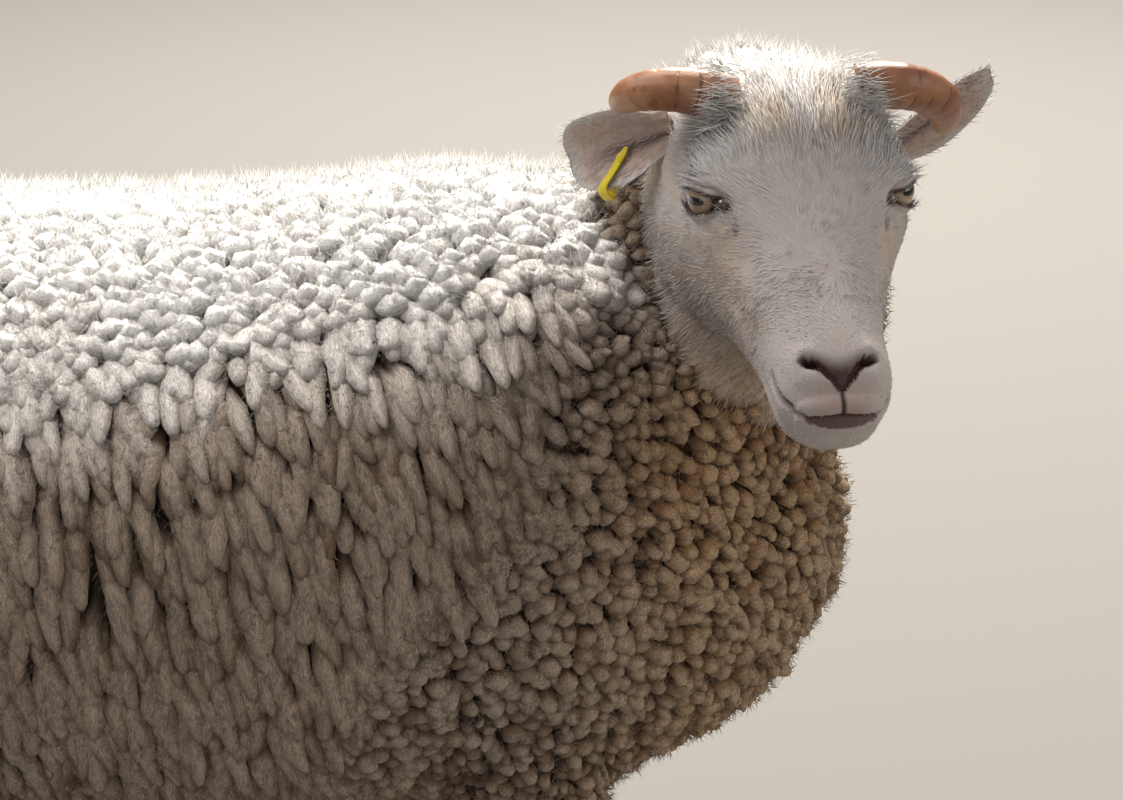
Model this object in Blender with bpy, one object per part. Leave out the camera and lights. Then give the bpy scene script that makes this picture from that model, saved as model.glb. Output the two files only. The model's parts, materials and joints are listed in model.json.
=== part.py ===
"""A small horned ewe in full fleece, standing square, its head turned to look out over its right side.

Frame: metres, +Z up, +X the way the body faces, +Y its left side. The origin is on the ground, under the
middle of the whole animal's box. Every surface stands where the tips of the coat stand: the fleece on the
trunk, neck and upper legs, the short hair on the head and lower legs.
"""

import math
from collections import namedtuple

import bmesh
import bpy
import numpy as np
from mathutils import Matrix, Vector

GAP = 0.0003  # clearance between pieces that meet
SIDES = (("left", 1.0), ("right", -1.0))

# ------------------------------------------------------------------ driving sizes
BACK_HEIGHT = 0.646  # top of the fleece over the withers
BELLY_HEIGHT = 0.238  # underside of the fleece at the deepest point
EYE_RADIUS = 0.0135
EAR_LENGTH = 0.085
HOOF_LENGTH = 0.060
HOOF_WIDTH = 0.0215

# ------------------------------------------------------------------ the head's place
HEAD_ORIGIN = Vector((0.350, -0.062, 0.700))  # middle of the back of the skull, the spine being at 0 across
HEAD_YAW = math.radians(81.0)  # turned from straight ahead towards the right
HEAD_PITCH = math.radians(26.0)  # nose below the horizontal
HEAD_ROLL = math.radians(-0.5)  # left side of the head above its right side
BOX_SHIFT = Vector((0.0057, 0.0320, 0.0))  # from the spine's frame to the middle of the whole animal's box


def head_matrix():
    """Head frame in the body's frame: first axis to the nose, second to the head's left, third to its crown."""
    nose = Vector((
        math.cos(HEAD_PITCH) * math.cos(HEAD_YAW),
        -math.cos(HEAD_PITCH) * math.sin(HEAD_YAW),
        -math.sin(HEAD_PITCH),
    ))
    level = Vector((math.sin(HEAD_YAW), math.cos(HEAD_YAW), 0.0))
    left = level * math.cos(HEAD_ROLL) + nose.cross(level) * math.sin(HEAD_ROLL)
    turned = Matrix((nose, left, nose.cross(left))).transposed().to_4x4()
    return Matrix.Translation(HEAD_ORIGIN) @ turned


# ------------------------------------------------------------------ sections of the trunk and neck
# A section of a soft form: its middle, its half height and half width, and how square its outline is.
Section = namedtuple("Section", "x y z tall wide square")


def trunk_section(x, top, bottom, wide, square=2.25):
    """An upright section of the trunk between two heights."""
    return Section(x, 0.0, (top + bottom) / 2, (top - bottom) / 2, wide, square)


TRUNK = (
    trunk_section(-0.448, 0.528, 0.385, 0.085),  # buttocks
    trunk_section(-0.405, 0.588, 0.325, 0.142),  # dock
    trunk_section(-0.330, 0.622, BELLY_HEIGHT + 0.050, 0.178),  # hips
    trunk_section(-0.220, 0.631, BELLY_HEIGHT + 0.022, 0.197),  # flank
    trunk_section(-0.080, 0.627, BELLY_HEIGHT, 0.212),  # belly
    trunk_section(0.060, 0.633, BELLY_HEIGHT, 0.208),  # last ribs
    trunk_section(0.165, BACK_HEIGHT, BELLY_HEIGHT + 0.002, 0.190),  # withers
    trunk_section(0.250, 0.634, BELLY_HEIGHT + 0.014, 0.166),  # shoulder points
    trunk_section(0.320, 0.592, BELLY_HEIGHT + 0.054, 0.130),  # brisket
    trunk_section(0.367, 0.545, BELLY_HEIGHT + 0.116, 0.080),  # front of the chest
)
NECK = (
    Section(0.165, 0.000, 0.490, 0.148, 0.150, 2.1),  # inside the shoulders
    Section(0.245, 0.000, 0.514, 0.136, 0.138, 2.1),  # base of the neck
    Section(0.300, -0.002, 0.556, 0.120, 0.122, 2.1),  # middle of the neck
    Section(0.333, -0.014, 0.604, 0.108, 0.108, 2.1),  # throat
    Section(0.346, -0.036, 0.638, 0.098, 0.094, 2.1),  # behind the ears
    Section(0.349, -0.066, 0.651, 0.091, 0.072, 2.1),  # let into the back of the skull
)
NECK_CUT_POINT = Vector((0.250, 0.0, 0.590))
NECK_CUT_SLOPE = math.radians(33.0)  # the cut's normal above the horizontal

# ------------------------------------------------------------------ sections of the head
# Along the head from the back of the skull: height of the bridge above the head's axis, depth of the jaw
# below it, half width, and how much wider the crown side is than the throat side.
HeadSection = namedtuple("HeadSection", "along rise drop half upper")
HEAD = (
    HeadSection(-0.030, 0.034, 0.118, 0.070, -0.17),  # nape, inside the fleece
    HeadSection(0.000, 0.054, 0.124, 0.073, -0.17),  # back of the skull
    HeadSection(0.025, 0.069, 0.122, 0.073, -0.14),  # poll
    HeadSection(0.050, 0.073, 0.114, 0.072, -0.07),  # crown
    HeadSection(0.075, 0.067, 0.101, 0.069, 0.01),  # brow
    HeadSection(0.095, 0.058, 0.087, 0.063, 0.05),  # eyes
    HeadSection(0.120, 0.047, 0.070, 0.0525, 0.00),  # cheeks
    HeadSection(0.150, 0.0375, 0.0565, 0.0430, -0.10),  # bridge of the nose
    HeadSection(0.180, 0.0300, 0.0480, 0.0370, -0.12),  # upper jaw
    HeadSection(0.203, 0.0235, 0.0440, 0.0350, -0.10),  # nostrils
    HeadSection(0.220, 0.0170, 0.0405, 0.0325, -0.06),  # upper lip
    HeadSection(0.230, 0.0085, 0.0345, 0.0265, 0.00),  # front of the lips
)
CROWN_SQUARE = 2.2  # how square the head's outline is above its axis
THROAT_SQUARE = 2.9  # and below it
# A swelling of the head: its middle, its reach along, across and up, and its height, on both sides.
Swell = namedtuple("Swell", "along across up reach height")
SWELLS = (
    Swell(0.084, 0.060, 0.036, (0.020, 0.016, 0.014), 0.0060),  # brow over the eye
    Swell(0.098, 0.056, 0.006, (0.018, 0.016, 0.012), 0.0030),  # cheekbone under the eye
    Swell(0.058, 0.068, 0.018, (0.016, 0.016, 0.020), -0.0040),  # hollow of the temple
    Swell(0.040, 0.060, -0.045, (0.030, 0.020, 0.030), 0.0040),  # corner of the jaw
    Swell(0.128, 0.040, 0.022, (0.020, 0.014, 0.012), -0.0030),  # hollow before the eye
    Swell(0.209, 0.022, 0.010, (0.010, 0.009, 0.009), 0.0030),  # wing of the nostril
    Swell(0.214, 0.020, -0.010, (0.012, 0.012, 0.008), 0.0030),  # upper lip
    Swell(0.222, 0.000, -0.040, (0.014, 0.020, 0.008), 0.0020),  # chin
    Swell(0.200, 0.034, -0.022, (0.020, 0.012, 0.005), -0.0020),  # corner of the mouth
)
EYE_PLACE = (0.0865, 0.0520, 0.0250)  # along, across and up, in the head frame
EYE_GAZE = (0.50, 0.85, 0.12)  # which way an eye looks, in the same order
EYE_OPENING = (0.0115, 0.0074, 0.0180)  # half length, half height and depth of the opening between the lids

# ------------------------------------------------------------------ horns, ears and tag
HORN_ROOT = (0.034, 0.051, 0.056)
HORN_TILT = math.radians(13.0)  # a horn leaves the head this far above its side axis
HORN_BEND_RADIUS = 0.044
HORN_BURIED = 0.015  # length of a horn's base inside the skull
HORN_ARC_LENGTH = {"left": 0.078, "right": 0.096}
HORN_START_RADIUS = 0.0158
HORN_FLATNESS = 0.88  # fore and aft thickness over height
HORN_DROOP = {"left": math.radians(64.0), "right": math.radians(47.0)}  # how far down it curls as it goes back
EAR_ROOT = {"left": (0.012, 0.070, -0.016), "right": (0.020, 0.069, 0.010)}
EAR_WAY = {"left": Vector((0.72, 0.34, 0.56)), "right": Vector((-0.62, 0.60, -0.22))}
EAR_FACE = {"left": Vector((0.38, -0.74, -0.28)), "right": Vector((-0.15, -0.85, -0.35))}
EAR_HALF_WIDTH = 0.0230
EAR_THICKNESS = 0.0042
EAR_START = -0.12  # the ear's buried end, as a share of its length
EAR_CUP = 0.013  # how far the ear's edges stand in front of its middle
EAR_STEPS = (EAR_START, 0.0, 0.12, 0.26, 0.40, 0.53, 0.66, 0.77, 0.86, 0.93, 0.975, 1.0)  # shares of its length
TAG_ALONG = 0.62  # place of the tag on the ear's edge, as a share of the ear's length
TAG_SLANT = 0.30  # its inner end stands this share of the ear's length nearer the head
TAG_WIDTH = 0.0080
TAG_THICKNESS = 0.0013
TAG_INNER_END = -0.10  # across the ear, 0 at its middle and -1 at its lower edge
TAG_OVERHANG = 0.0055  # how far the fold hangs clear of the edge
TAG_PIN_PLACE = 0.30  # along a tongue from its inner end
TAG_PIN_RADIUS = 0.0018

# ------------------------------------------------------------------ legs
# A section of a leg: place fore and aft, place across, height, and half thickness fore and aft and across.
LegSection = namedtuple("LegSection", "x y z deep wide")
FORE_WOOL = (
    LegSection(0.200, 0.086, 0.420, 0.078, 0.060),  # shoulder
    LegSection(0.196, 0.097, 0.350, 0.078, 0.060),  # point of the elbow
    LegSection(0.204, 0.096, 0.298, 0.060, 0.051),  # top of the forearm
    LegSection(0.212, 0.091, 0.258, 0.043, 0.038),  # forearm
    LegSection(0.216, 0.088, 0.228, 0.033, 0.030),  # end of the wool
)
FORE_BARE = (
    LegSection(0.216, 0.088, 0.234, 0.0235, 0.0215),  # above the knee
    LegSection(0.219, 0.087, 0.205, 0.0245, 0.0235),  # knee
    LegSection(0.217, 0.087, 0.180, 0.0200, 0.0195),  # below the knee
    LegSection(0.213, 0.086, 0.140, 0.0165, 0.0150),  # cannon
    LegSection(0.212, 0.086, 0.105, 0.0175, 0.0160),  # end of the cannon
    LegSection(0.213, 0.086, 0.082, 0.0215, 0.0200),  # fetlock
    LegSection(0.223, 0.086, 0.058, 0.0185, 0.0190),  # pastern
    LegSection(0.234, 0.086, 0.034, 0.0235, 0.0225),  # coronet
    LegSection(0.240, 0.086, 0.015, 0.0235, 0.0225),  # inside the hoof
)
HIND_WOOL = (
    LegSection(-0.300, 0.088, 0.490, 0.122, 0.070),  # hip
    LegSection(-0.305, 0.104, 0.410, 0.134, 0.078),  # thigh
    LegSection(-0.320, 0.106, 0.340, 0.108, 0.068),  # stifle
    LegSection(-0.347, 0.099, 0.288, 0.070, 0.050),  # gaskin
    LegSection(-0.369, 0.092, 0.250, 0.043, 0.036),  # end of the wool
)
HIND_BARE = (
    LegSection(-0.364, 0.092, 0.256, 0.0290, 0.0210),  # above the hock
    LegSection(-0.385, 0.090, 0.226, 0.0330, 0.0225),  # hock
    LegSection(-0.384, 0.088, 0.198, 0.0250, 0.0200),  # below the hock
    LegSection(-0.378, 0.087, 0.150, 0.0175, 0.0155),  # cannon
    LegSection(-0.374, 0.086, 0.108, 0.0185, 0.0165),  # end of the cannon
    LegSection(-0.372, 0.086, 0.084, 0.0225, 0.0205),  # fetlock
    LegSection(-0.362, 0.086, 0.059, 0.0190, 0.0195),  # pastern
    LegSection(-0.351, 0.086, 0.034, 0.0240, 0.0225),  # coronet
    LegSection(-0.345, 0.086, 0.015, 0.0240, 0.0225),  # inside the hoof
)
CORONET_HEIGHT = 0.038  # top of the hoof over the middle of the foot
CORONET_SLOPE = math.radians(24.0)  # the hoof's top falls towards the heel
CLAW_SPREAD = 0.0120  # from the middle of the foot to the middle of a claw
CLAW_TOE_LEAN = 0.62  # how far the toe wall runs forward for each metre down
CLAW_LEAD = 0.012  # the middle of the sole stands this far before the middle of the coronet
CLAW_STEPS = ((0.0, 0.93), (0.0035, 1.0), (0.024, 0.93), (0.060, 0.80))  # heights and sizes of its outline
CLAW_POINT = 0.42  # how much narrower the toe is than the middle
DEWCLAW_HEIGHT = 0.080
DEWCLAW_SPREAD = 0.0095  # from the middle of the foot
DEWCLAW_TALL = 0.0085
DEWCLAW_WIDE = 0.0062
DEWCLAW_LENGTH = 0.016
DEWCLAW_DROP = 0.010  # its tip is this much lower than its root
DEWCLAW_BURIED = 0.006
DEWCLAW_STEPS = ((0.0, 1.0), (0.5, 0.95), (0.85, 0.62))  # shares of its length and sizes there
TAIL = (
    Section(-0.392, 0.0, 0.575, 0.024, 0.034, 2.0),  # root, inside the rump
    Section(-0.430, 0.0, 0.557, 0.026, 0.036, 2.0),
    Section(-0.455, 0.0, 0.520, 0.027, 0.037, 2.0),
    Section(-0.470, 0.0, 0.470, 0.026, 0.034, 2.0),
    Section(-0.474, 0.0, 0.418, 0.022, 0.028, 2.0),
    Section(-0.470, 0.0, 0.385, 0.014, 0.018, 2.0),  # end
)

# ------------------------------------------------------------------ how fine the faceted solids are
VOXEL = 0.012
SOFTEN_PASSES = 7
BODY_TRIANGLES = 1090
COLOURS = {
    "fleece": (0.60, 0.50, 0.38, 0.95),
    "short_hair": (0.72, 0.66, 0.58, 0.85),
    "horn": (0.46, 0.20, 0.09, 0.40),
    "hoof": (0.10, 0.08, 0.06, 0.50),
    "eye": (0.42, 0.30, 0.12, 0.08),
    "tag": (0.80, 0.66, 0.05, 0.45),
}  # red, green, blue and roughness


# ------------------------------------------------------------------ making meshes
def material(name):
    """The Principled material of one of the animal's finishes."""
    made = bpy.data.materials.get(name)
    if made is None:
        made = bpy.data.materials.new(name)
        made.use_nodes = True
        shader = made.node_tree.nodes["Principled BSDF"]
        red, green, blue, roughness = COLOURS[name]
        shader.inputs["Base Color"].default_value = (red, green, blue, 1.0)
        shader.inputs["Roughness"].default_value = roughness
        shader.inputs["Metallic"].default_value = 0.0
    return made


def place(name, mesh, finish):
    """An object of this mesh in the scene, shaded smooth."""
    obj = bpy.data.objects.new(name, mesh)
    bpy.context.scene.collection.objects.link(obj)
    mesh.materials.clear()
    mesh.materials.append(material(finish))
    mesh.shade_smooth()
    return obj


def helper(obj):
    """Marks a cutter or a rough form, which is no piece of the animal."""
    obj.hide_render = True
    obj.display_type = "WIRE"
    return obj


def closed_rings(rings):
    """A closed mesh over rings of points, with a fan to the middle of the first and of the last ring."""
    form = bmesh.new()
    loops = [[form.verts.new(point) for point in ring] for ring in rings]
    for lower, upper in zip(loops, loops[1:]):
        for k in range(len(lower)):
            after = (k + 1) % len(lower)
            form.faces.new((lower[k], lower[after], upper[after], upper[k]))
    for loop in (loops[0], loops[-1]):
        middle = form.verts.new(sum((v.co for v in loop), Vector()) / len(loop))
        for k in range(len(loop)):
            form.faces.new((loop[k], loop[(k + 1) % len(loop)], middle))
    bmesh.ops.recalc_face_normals(form, faces=form.faces)
    bmesh.ops.triangulate(form, faces=form.faces)
    mesh = bpy.data.meshes.new("rings")
    form.to_mesh(mesh)
    form.free()
    return mesh


def smooth_rows(rows, count):
    """Rows of numbers carried on a smooth (Catmull-Rom) curve through all of them, as count rows."""
    table = np.array(rows, float)
    padded = np.vstack([2 * table[0] - table[1], table, 2 * table[-1] - table[-2]])
    steps = np.linspace(0, len(table) - 1, count)
    first = np.minimum(steps.astype(int), len(table) - 2)
    t = (steps - first)[:, None]
    a, b, c, d = (padded[first + k] for k in range(4))
    return 0.5 * (2 * b + (c - a) * t + (2 * a - 5 * b + 4 * c - d) * t**2 + (3 * b - a - 3 * c + d) * t**3)


def oval(tall, wide, square, count):
    """Points round a rounded outline, from its top, as (across, up)."""
    turn = np.linspace(0, 2 * math.pi, count, endpoint=False)
    power = 2 / square
    across = np.sign(np.sin(turn)) * np.abs(np.sin(turn)) ** power * wide
    return across, np.sign(np.cos(turn)) * np.abs(np.cos(turn)) ** power * tall


def domed(rings, dome, steps=3):
    """The rings with a rounded end added at both ends, as deep as dome times the ring's own size."""
    ends = []
    for end, inner in ((0, 1), (-1, -2)):
        last = np.array(rings[end])
        middle = last.mean(axis=0)
        way = middle - np.array(rings[inner]).mean(axis=0)
        depth = dome * np.linalg.norm(last - middle, axis=1).mean() * way / np.linalg.norm(way)
        leans = np.arange(1, steps + 1) / (steps + 0.5) * math.pi / 2
        ends.append([middle + (last - middle) * math.cos(lean) + depth * math.sin(lean) for lean in leans])
    start, finish = ends
    return start[::-1] + list(rings) + finish


def soft_form(sections, count, around, dome=0.45, crown=(0, 0, 1)):
    """A closed form carried along the middles of its sections, their tall way as near crown as it can be."""
    rows = smooth_rows(sections, count)
    middles = rows[:, :3]
    ways = np.gradient(middles, axis=0)
    rings = []
    for middle, way, (tall, wide, square) in zip(middles, ways, rows[:, 3:]):
        forward = Vector(way).normalized()
        across = forward.cross(Vector(crown)).normalized()
        up = across.cross(forward)
        side, rise = oval(tall, wide, square, around)
        rings.append(middle + np.outer(side, across) + np.outer(rise, up))
    return closed_rings(domed(rings, dome))


def leg_form(sections, side, count, around):
    """A closed form down a leg, of level oval rings."""
    rings = []
    for x, y, z, deep, wide in smooth_rows(sections, count):
        across, along = oval(deep, wide, 2.1, around)
        middle = np.array((x, side * y, z))
        rings.append(middle + np.outer(along, (1, 0, 0)) + np.outer(across, (0, 1, 0)))
    return closed_rings(rings)


def grown(mesh, by=GAP):
    """A copy of a mesh with its surface moved out along its normals."""
    copy = mesh.copy()
    points = np.array([v.co + v.normal * by for v in mesh.vertices])
    copy.vertices.foreach_set("co", points.ravel())
    copy.update()
    return copy


def evaluated(obj):
    """The mesh of an object with its modifiers."""
    graph = bpy.context.evaluated_depsgraph_get()
    return bpy.data.meshes.new_from_object(obj.evaluated_get(graph), depsgraph=graph)


def half_of(mesh, point, normal):
    """The part of a closed mesh on the far side of a plane, closed over the cut."""
    form = bmesh.new()
    form.from_mesh(mesh)
    everything = form.verts[:] + form.edges[:] + form.faces[:]
    bmesh.ops.bisect_plane(
        form, geom=everything, dist=1e-6, plane_co=point, plane_no=normal, clear_inner=True
    )
    edge = [e for e in form.edges if e.is_boundary]
    bmesh.ops.edgeloop_fill(form, edges=edge)
    bmesh.ops.recalc_face_normals(form, faces=form.faces)
    bmesh.ops.triangulate(form, faces=form.faces)
    made = bpy.data.meshes.new("half")
    form.to_mesh(made)
    form.free()
    return made


def carve(obj, cutter_mesh, operation="DIFFERENCE"):
    """Cuts a helper of this mesh from the object, or joins it on, by a live Boolean."""
    cutter = helper(place(f"cutter_{obj.name}_{len(obj.modifiers)}", cutter_mesh, "fleece"))
    modifier = obj.modifiers.new(f"carve_{len(obj.modifiers)}", "BOOLEAN")
    modifier.object = cutter
    modifier.operation = operation
    modifier.solver = "EXACT"
    return cutter


# ------------------------------------------------------------------ trunk, neck and tail
def body_mesh():
    """Trunk and neck as one soft form, thinned to the faces that its outline needs."""
    form = bmesh.new()
    form.from_mesh(soft_form(TRUNK, 34, 40))
    form.from_mesh(soft_form(NECK, 22, 36, dome=0.20))
    joined = bpy.data.meshes.new("body_form")
    form.to_mesh(joined)
    form.free()
    body = helper(place("body_form", joined, "fleece"))
    remesh = body.modifiers.new("one_surface", "REMESH")
    remesh.mode = "VOXEL"
    remesh.voxel_size = VOXEL
    soften = body.modifiers.new("soften", "SMOOTH")
    soften.iterations = SOFTEN_PASSES
    soften.factor = 0.5
    fine = evaluated(body)
    fine.calc_loop_triangles()
    thin = body.modifiers.new("thin_out", "DECIMATE")
    thin.ratio = min(1.0, BODY_TRIANGLES / len(fine.loop_triangles))
    thin.use_collapse_triangulate = True
    mesh = evaluated(body)
    bpy.data.objects.remove(body)
    return mesh


def make_trunk_and_neck(head_seat):
    """The trunk, and the neck parted from it by a thin sloping cut, with the back of the skull let into it."""
    body = body_mesh()
    out = Vector((math.cos(NECK_CUT_SLOPE), 0, math.sin(NECK_CUT_SLOPE)))
    trunk = place("trunk", half_of(body, NECK_CUT_POINT - out * GAP / 2, -out), "fleece")
    neck = place("neck", half_of(body, NECK_CUT_POINT + out * GAP / 2, out), "fleece")
    carve(neck, head_seat.copy())
    return trunk


def make_tail(trunk):
    """The short woolly tail, let into the rump."""
    mesh = soft_form(TAIL, 9, 12, dome=0.8, crown=(1, 0, 0))
    carve(trunk, grown(mesh))
    return place("tail", mesh, "fleece")


# ------------------------------------------------------------------ head
def head_points(rings, around):
    """Rings of points over the head, in the head frame: rounded sections along it with its swellings."""
    rows = smooth_rows(HEAD, rings)
    turn = np.linspace(0, 2 * math.pi, around, endpoint=False)
    power = 2 / np.where(np.cos(turn) > 0, CROWN_SQUARE, THROAT_SQUARE)
    up = np.sign(np.cos(turn)) * np.abs(np.cos(turn)) ** power
    out = np.sign(np.sin(turn)) * np.abs(np.sin(turn)) ** power
    along, rise, drop, half, upper = (rows[:, k, None] for k in range(5))
    points = np.stack(
        [
            along + 0 * up,
            half * out * (1 + upper * np.cos(turn)),
            np.where(up > 0, rise, drop) * up,
        ],
        axis=-1,
    )
    normals = np.cross(np.gradient(points, axis=0), np.roll(points, -1, 1) - np.roll(points, 1, 1))
    normals /= np.linalg.norm(normals, axis=-1, keepdims=True)
    lift = np.zeros(points.shape[:2])
    for swell in SWELLS:
        for side in (1.0, -1.0) if swell.across else (1.0,):
            away = points - (swell.along, side * swell.across, swell.up)
            lift += swell.height * np.exp(-((away / swell.reach) ** 2).sum(axis=-1))
    return points + normals * lift[..., None]


def eye_ball(side, extra=0.0):
    """A whole eyeball, or the socket round it."""
    form = bmesh.new()
    bmesh.ops.create_uvsphere(form, u_segments=14, v_segments=9, radius=EYE_RADIUS + extra)
    along, across, up = EYE_PLACE
    quarter = Matrix.Rotation(math.pi / 2, 4, "X")
    form.transform(head_matrix() @ Matrix.Translation((along, side * across, up)) @ quarter)
    mesh = bpy.data.meshes.new("eye")
    form.to_mesh(mesh)
    form.free()
    return mesh


def eye_opening(side):
    """The almond-shaped way out between the lids, along the eye's gaze."""
    form = bmesh.new()
    bmesh.ops.create_uvsphere(form, u_segments=12, v_segments=8, radius=1.0)
    gaze = Vector((EYE_GAZE[0], side * EYE_GAZE[1], EYE_GAZE[2])).normalized()
    length = Vector((0, 0, 1)).cross(gaze).normalized()
    axes = Matrix((length, gaze.cross(length), gaze)).transposed().to_4x4()
    along, across, up = EYE_PLACE
    middle = Vector((along, side * across, up)) + gaze * EYE_RADIUS
    form.transform(head_matrix() @ Matrix.Translation(middle) @ axes @ Matrix.Diagonal((*EYE_OPENING, 1.0)))
    mesh = bpy.data.meshes.new("eye_opening")
    form.to_mesh(mesh)
    form.free()
    return mesh


def make_head():
    """The head, whose back lies in the neck's fleece, with a socket for each eye."""
    mesh = closed_rings(domed(list(head_points(24, 22)), 0.42, steps=3))
    mesh.transform(head_matrix())
    seat = grown(mesh)
    head = place("head", mesh, "short_hair")
    for label, side in SIDES:
        carve(head, eye_ball(side, GAP))
        carve(head, eye_opening(side))
        place(f"eye_{label}", eye_ball(side), "eye")
    return seat


# ------------------------------------------------------------------ horns
def horn_path(label, side, count):
    """Points along a horn, in the head frame: it leaves sideways and bends back and down on one arc."""
    sideways = np.array((0.0, side * math.cos(HORN_TILT), math.sin(HORN_TILT)))
    droop = HORN_DROOP[label]
    back = np.array((-math.cos(droop), 0.0, -math.sin(droop)))
    root = np.array(HORN_ROOT) * (1, side, 1)
    ends = np.array((-HORN_BURIED, HORN_ARC_LENGTH[label])) / HORN_BEND_RADIUS
    turn = np.linspace(*ends, count)[:, None]
    return root + HORN_BEND_RADIUS * (np.sin(turn) * sideways + (1 - np.cos(turn)) * back)


def horn_radius(share):
    """Half thickness along a horn, from its base to a blunt tip."""
    return HORN_START_RADIUS * (1 - 0.28 * share) * math.sqrt(max(1 - share**4, 0.03))


def make_horn(label, side, seat):
    """A short horn whose base is let down on the skull."""
    path = horn_path(label, side, 11)
    ways = np.gradient(path, axis=0)
    rings = []
    for k, (middle, way) in enumerate(zip(path, ways)):
        forward = Vector(way).normalized()
        flat = forward.cross(Vector((0, 0, 1))).normalized()
        tall = flat.cross(forward)
        radius = horn_radius(k / (len(path) - 1))
        across, up = oval(radius, radius * HORN_FLATNESS, 2.2, 12)
        rings.append(middle + np.outer(across, flat) + np.outer(up, tall))
    mesh = closed_rings(rings)
    mesh.transform(head_matrix())
    horn = place(f"horn_{label}", mesh, "horn")
    carve(horn, seat.copy())
    return horn


# ------------------------------------------------------------------ ears and tag
def ear_frame(label, side):
    """Root, way to the tip, way across to the upper edge, and way the hollow faces."""
    along, out, up = EAR_ROOT[label]
    root = head_matrix() @ Vector((along, side * out, up))
    way = EAR_WAY[label].normalized()
    face = (EAR_FACE[label] - way * EAR_FACE[label].dot(way)).normalized()
    across = face.cross(way) * (1.0 if label == "left" else -1.0)
    return root, way, across if across.z > 0 else -across, face


def ear_point(frame, along, across, proud=0.0):
    """A point of the ear's middle surface: along from root to tip, across from -1 to 1, proud of it."""
    root, way, wide, face = frame
    half = EAR_HALF_WIDTH * ear_width(along)
    opened = min(1.0, 0.15 + 3.5 * (along - EAR_START))
    cup = EAR_CUP * ear_width(along) * (1 - 0.5 * along) * opened
    lean = math.atan2(2 * cup * across, half)
    place_there = root + way * EAR_LENGTH * along + wide * half * across + face * cup * across**2
    return place_there + (face * math.cos(lean) - wide * math.sin(lean)) * proud


def ear_width(along):
    """Half width along the ear as a share of the widest: narrow root, full middle, round tip."""
    spread = 0.56 + 0.44 * math.sin(math.pi / 2 * min(max(along, 0.0) / 0.45, 1.0))
    return spread * math.sqrt(1 - 0.95 * max((along - 0.45) / 0.55, 0.0) ** 2.4)


def make_ear(label, side, seat):
    """A leaf-shaped ear, hollow in front, let down on the side of the skull."""
    frame = ear_frame(label, side)
    rings = []
    for along in EAR_STEPS:
        thick = EAR_THICKNESS * (1.0 if along < 0.95 else 0.7) / 2
        across = np.linspace(-1, 1, 7)
        front = [ear_point(frame, along, a, thick * (1 - 0.6 * a**4)) for a in across]
        rear = [ear_point(frame, along, a, -thick * (1 - 0.6 * a**4)) for a in across[::-1]]
        rings.append(front + rear)
    ear = place(f"ear_{label}", closed_rings(rings), "short_hair")
    carve(ear, seat.copy())
    return ear, frame


def tag_point(frame, share, across, proud, beyond):
    """A point of the tag: share of its width, across the ear, proud of the ear, and beyond its lower edge."""
    along = TAG_ALONG - TAG_SLANT * (across + 1) + share * TAG_WIDTH / EAR_LENGTH
    return ear_point(frame, along, across, proud) - frame[2] * beyond


def tag_turns(clear):
    """Across, proud and beyond for each step of the strap: down one tongue, round the fold and back."""
    fold = [
        (-1.0, clear * math.cos(turn), TAG_OVERHANG * (0.35 + 0.65 * math.sin(turn)))
        for turn in np.radians((14.0, 52.0, 90.0, 128.0, 166.0))
    ]
    down = [(across, clear, 0.0) for across in np.linspace(TAG_INNER_END, -0.95, 4)]
    return down + fold + [(across, -clear, 0.0) for across, _, _ in reversed(down)]


def make_tag(ear, frame):
    """A plain strap tag: two tongues folded round the ear's lower edge, joined by a pin through the ear."""
    clear = EAR_THICKNESS / 2 + GAP * 3 + TAG_THICKNESS / 2
    turns = tag_turns(clear)
    middles = [tag_point(frame, 0.0, *turn) for turn in turns]
    loops = []
    for k, turn in enumerate(turns):
        before, after = middles[max(k - 1, 0)], middles[min(k + 1, len(turns) - 1)]
        low, high = (tag_point(frame, share, *turn) for share in (-0.5, 0.5))
        outward = (high - low).cross(after - before).normalized() * (TAG_THICKNESS / 2)
        loops.append([low - outward, high - outward, high + outward, low + outward])
    tag = place("ear_tag", closed_rings(loops), "tag")
    tag.data.shade_flat()
    pin_across = TAG_INNER_END + (-1.0 - TAG_INNER_END) * TAG_PIN_PLACE
    ends = [tag_point(frame, 0.0, pin_across, proud, 0.0) for proud in (clear, -clear)]
    carve(tag, rod(*ends, TAG_PIN_RADIUS), "UNION")
    carve(ear, rod(*ends, TAG_PIN_RADIUS + GAP))
    return tag


def rod(start, end, radius):
    """A round rod between two points, as a mesh."""
    form = bmesh.new()
    way = end - start
    bmesh.ops.create_cone(
        form, cap_ends=True, segments=8, radius1=radius, radius2=radius, depth=way.length
    )
    form.transform(
        Matrix.Translation((start + end) / 2) @ way.to_track_quat("Z", "Y").to_matrix().to_4x4()
    )
    mesh = bpy.data.meshes.new("rod")
    form.to_mesh(mesh)
    form.free()
    return mesh


# ------------------------------------------------------------------ legs and hooves
def coronet_plane(x, slope=CORONET_SLOPE):
    """The plane between a hoof and its pastern, over the middle of the foot."""
    return Vector((x, 0, CORONET_HEIGHT)), Vector((-math.sin(slope), 0, math.cos(slope)))


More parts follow.
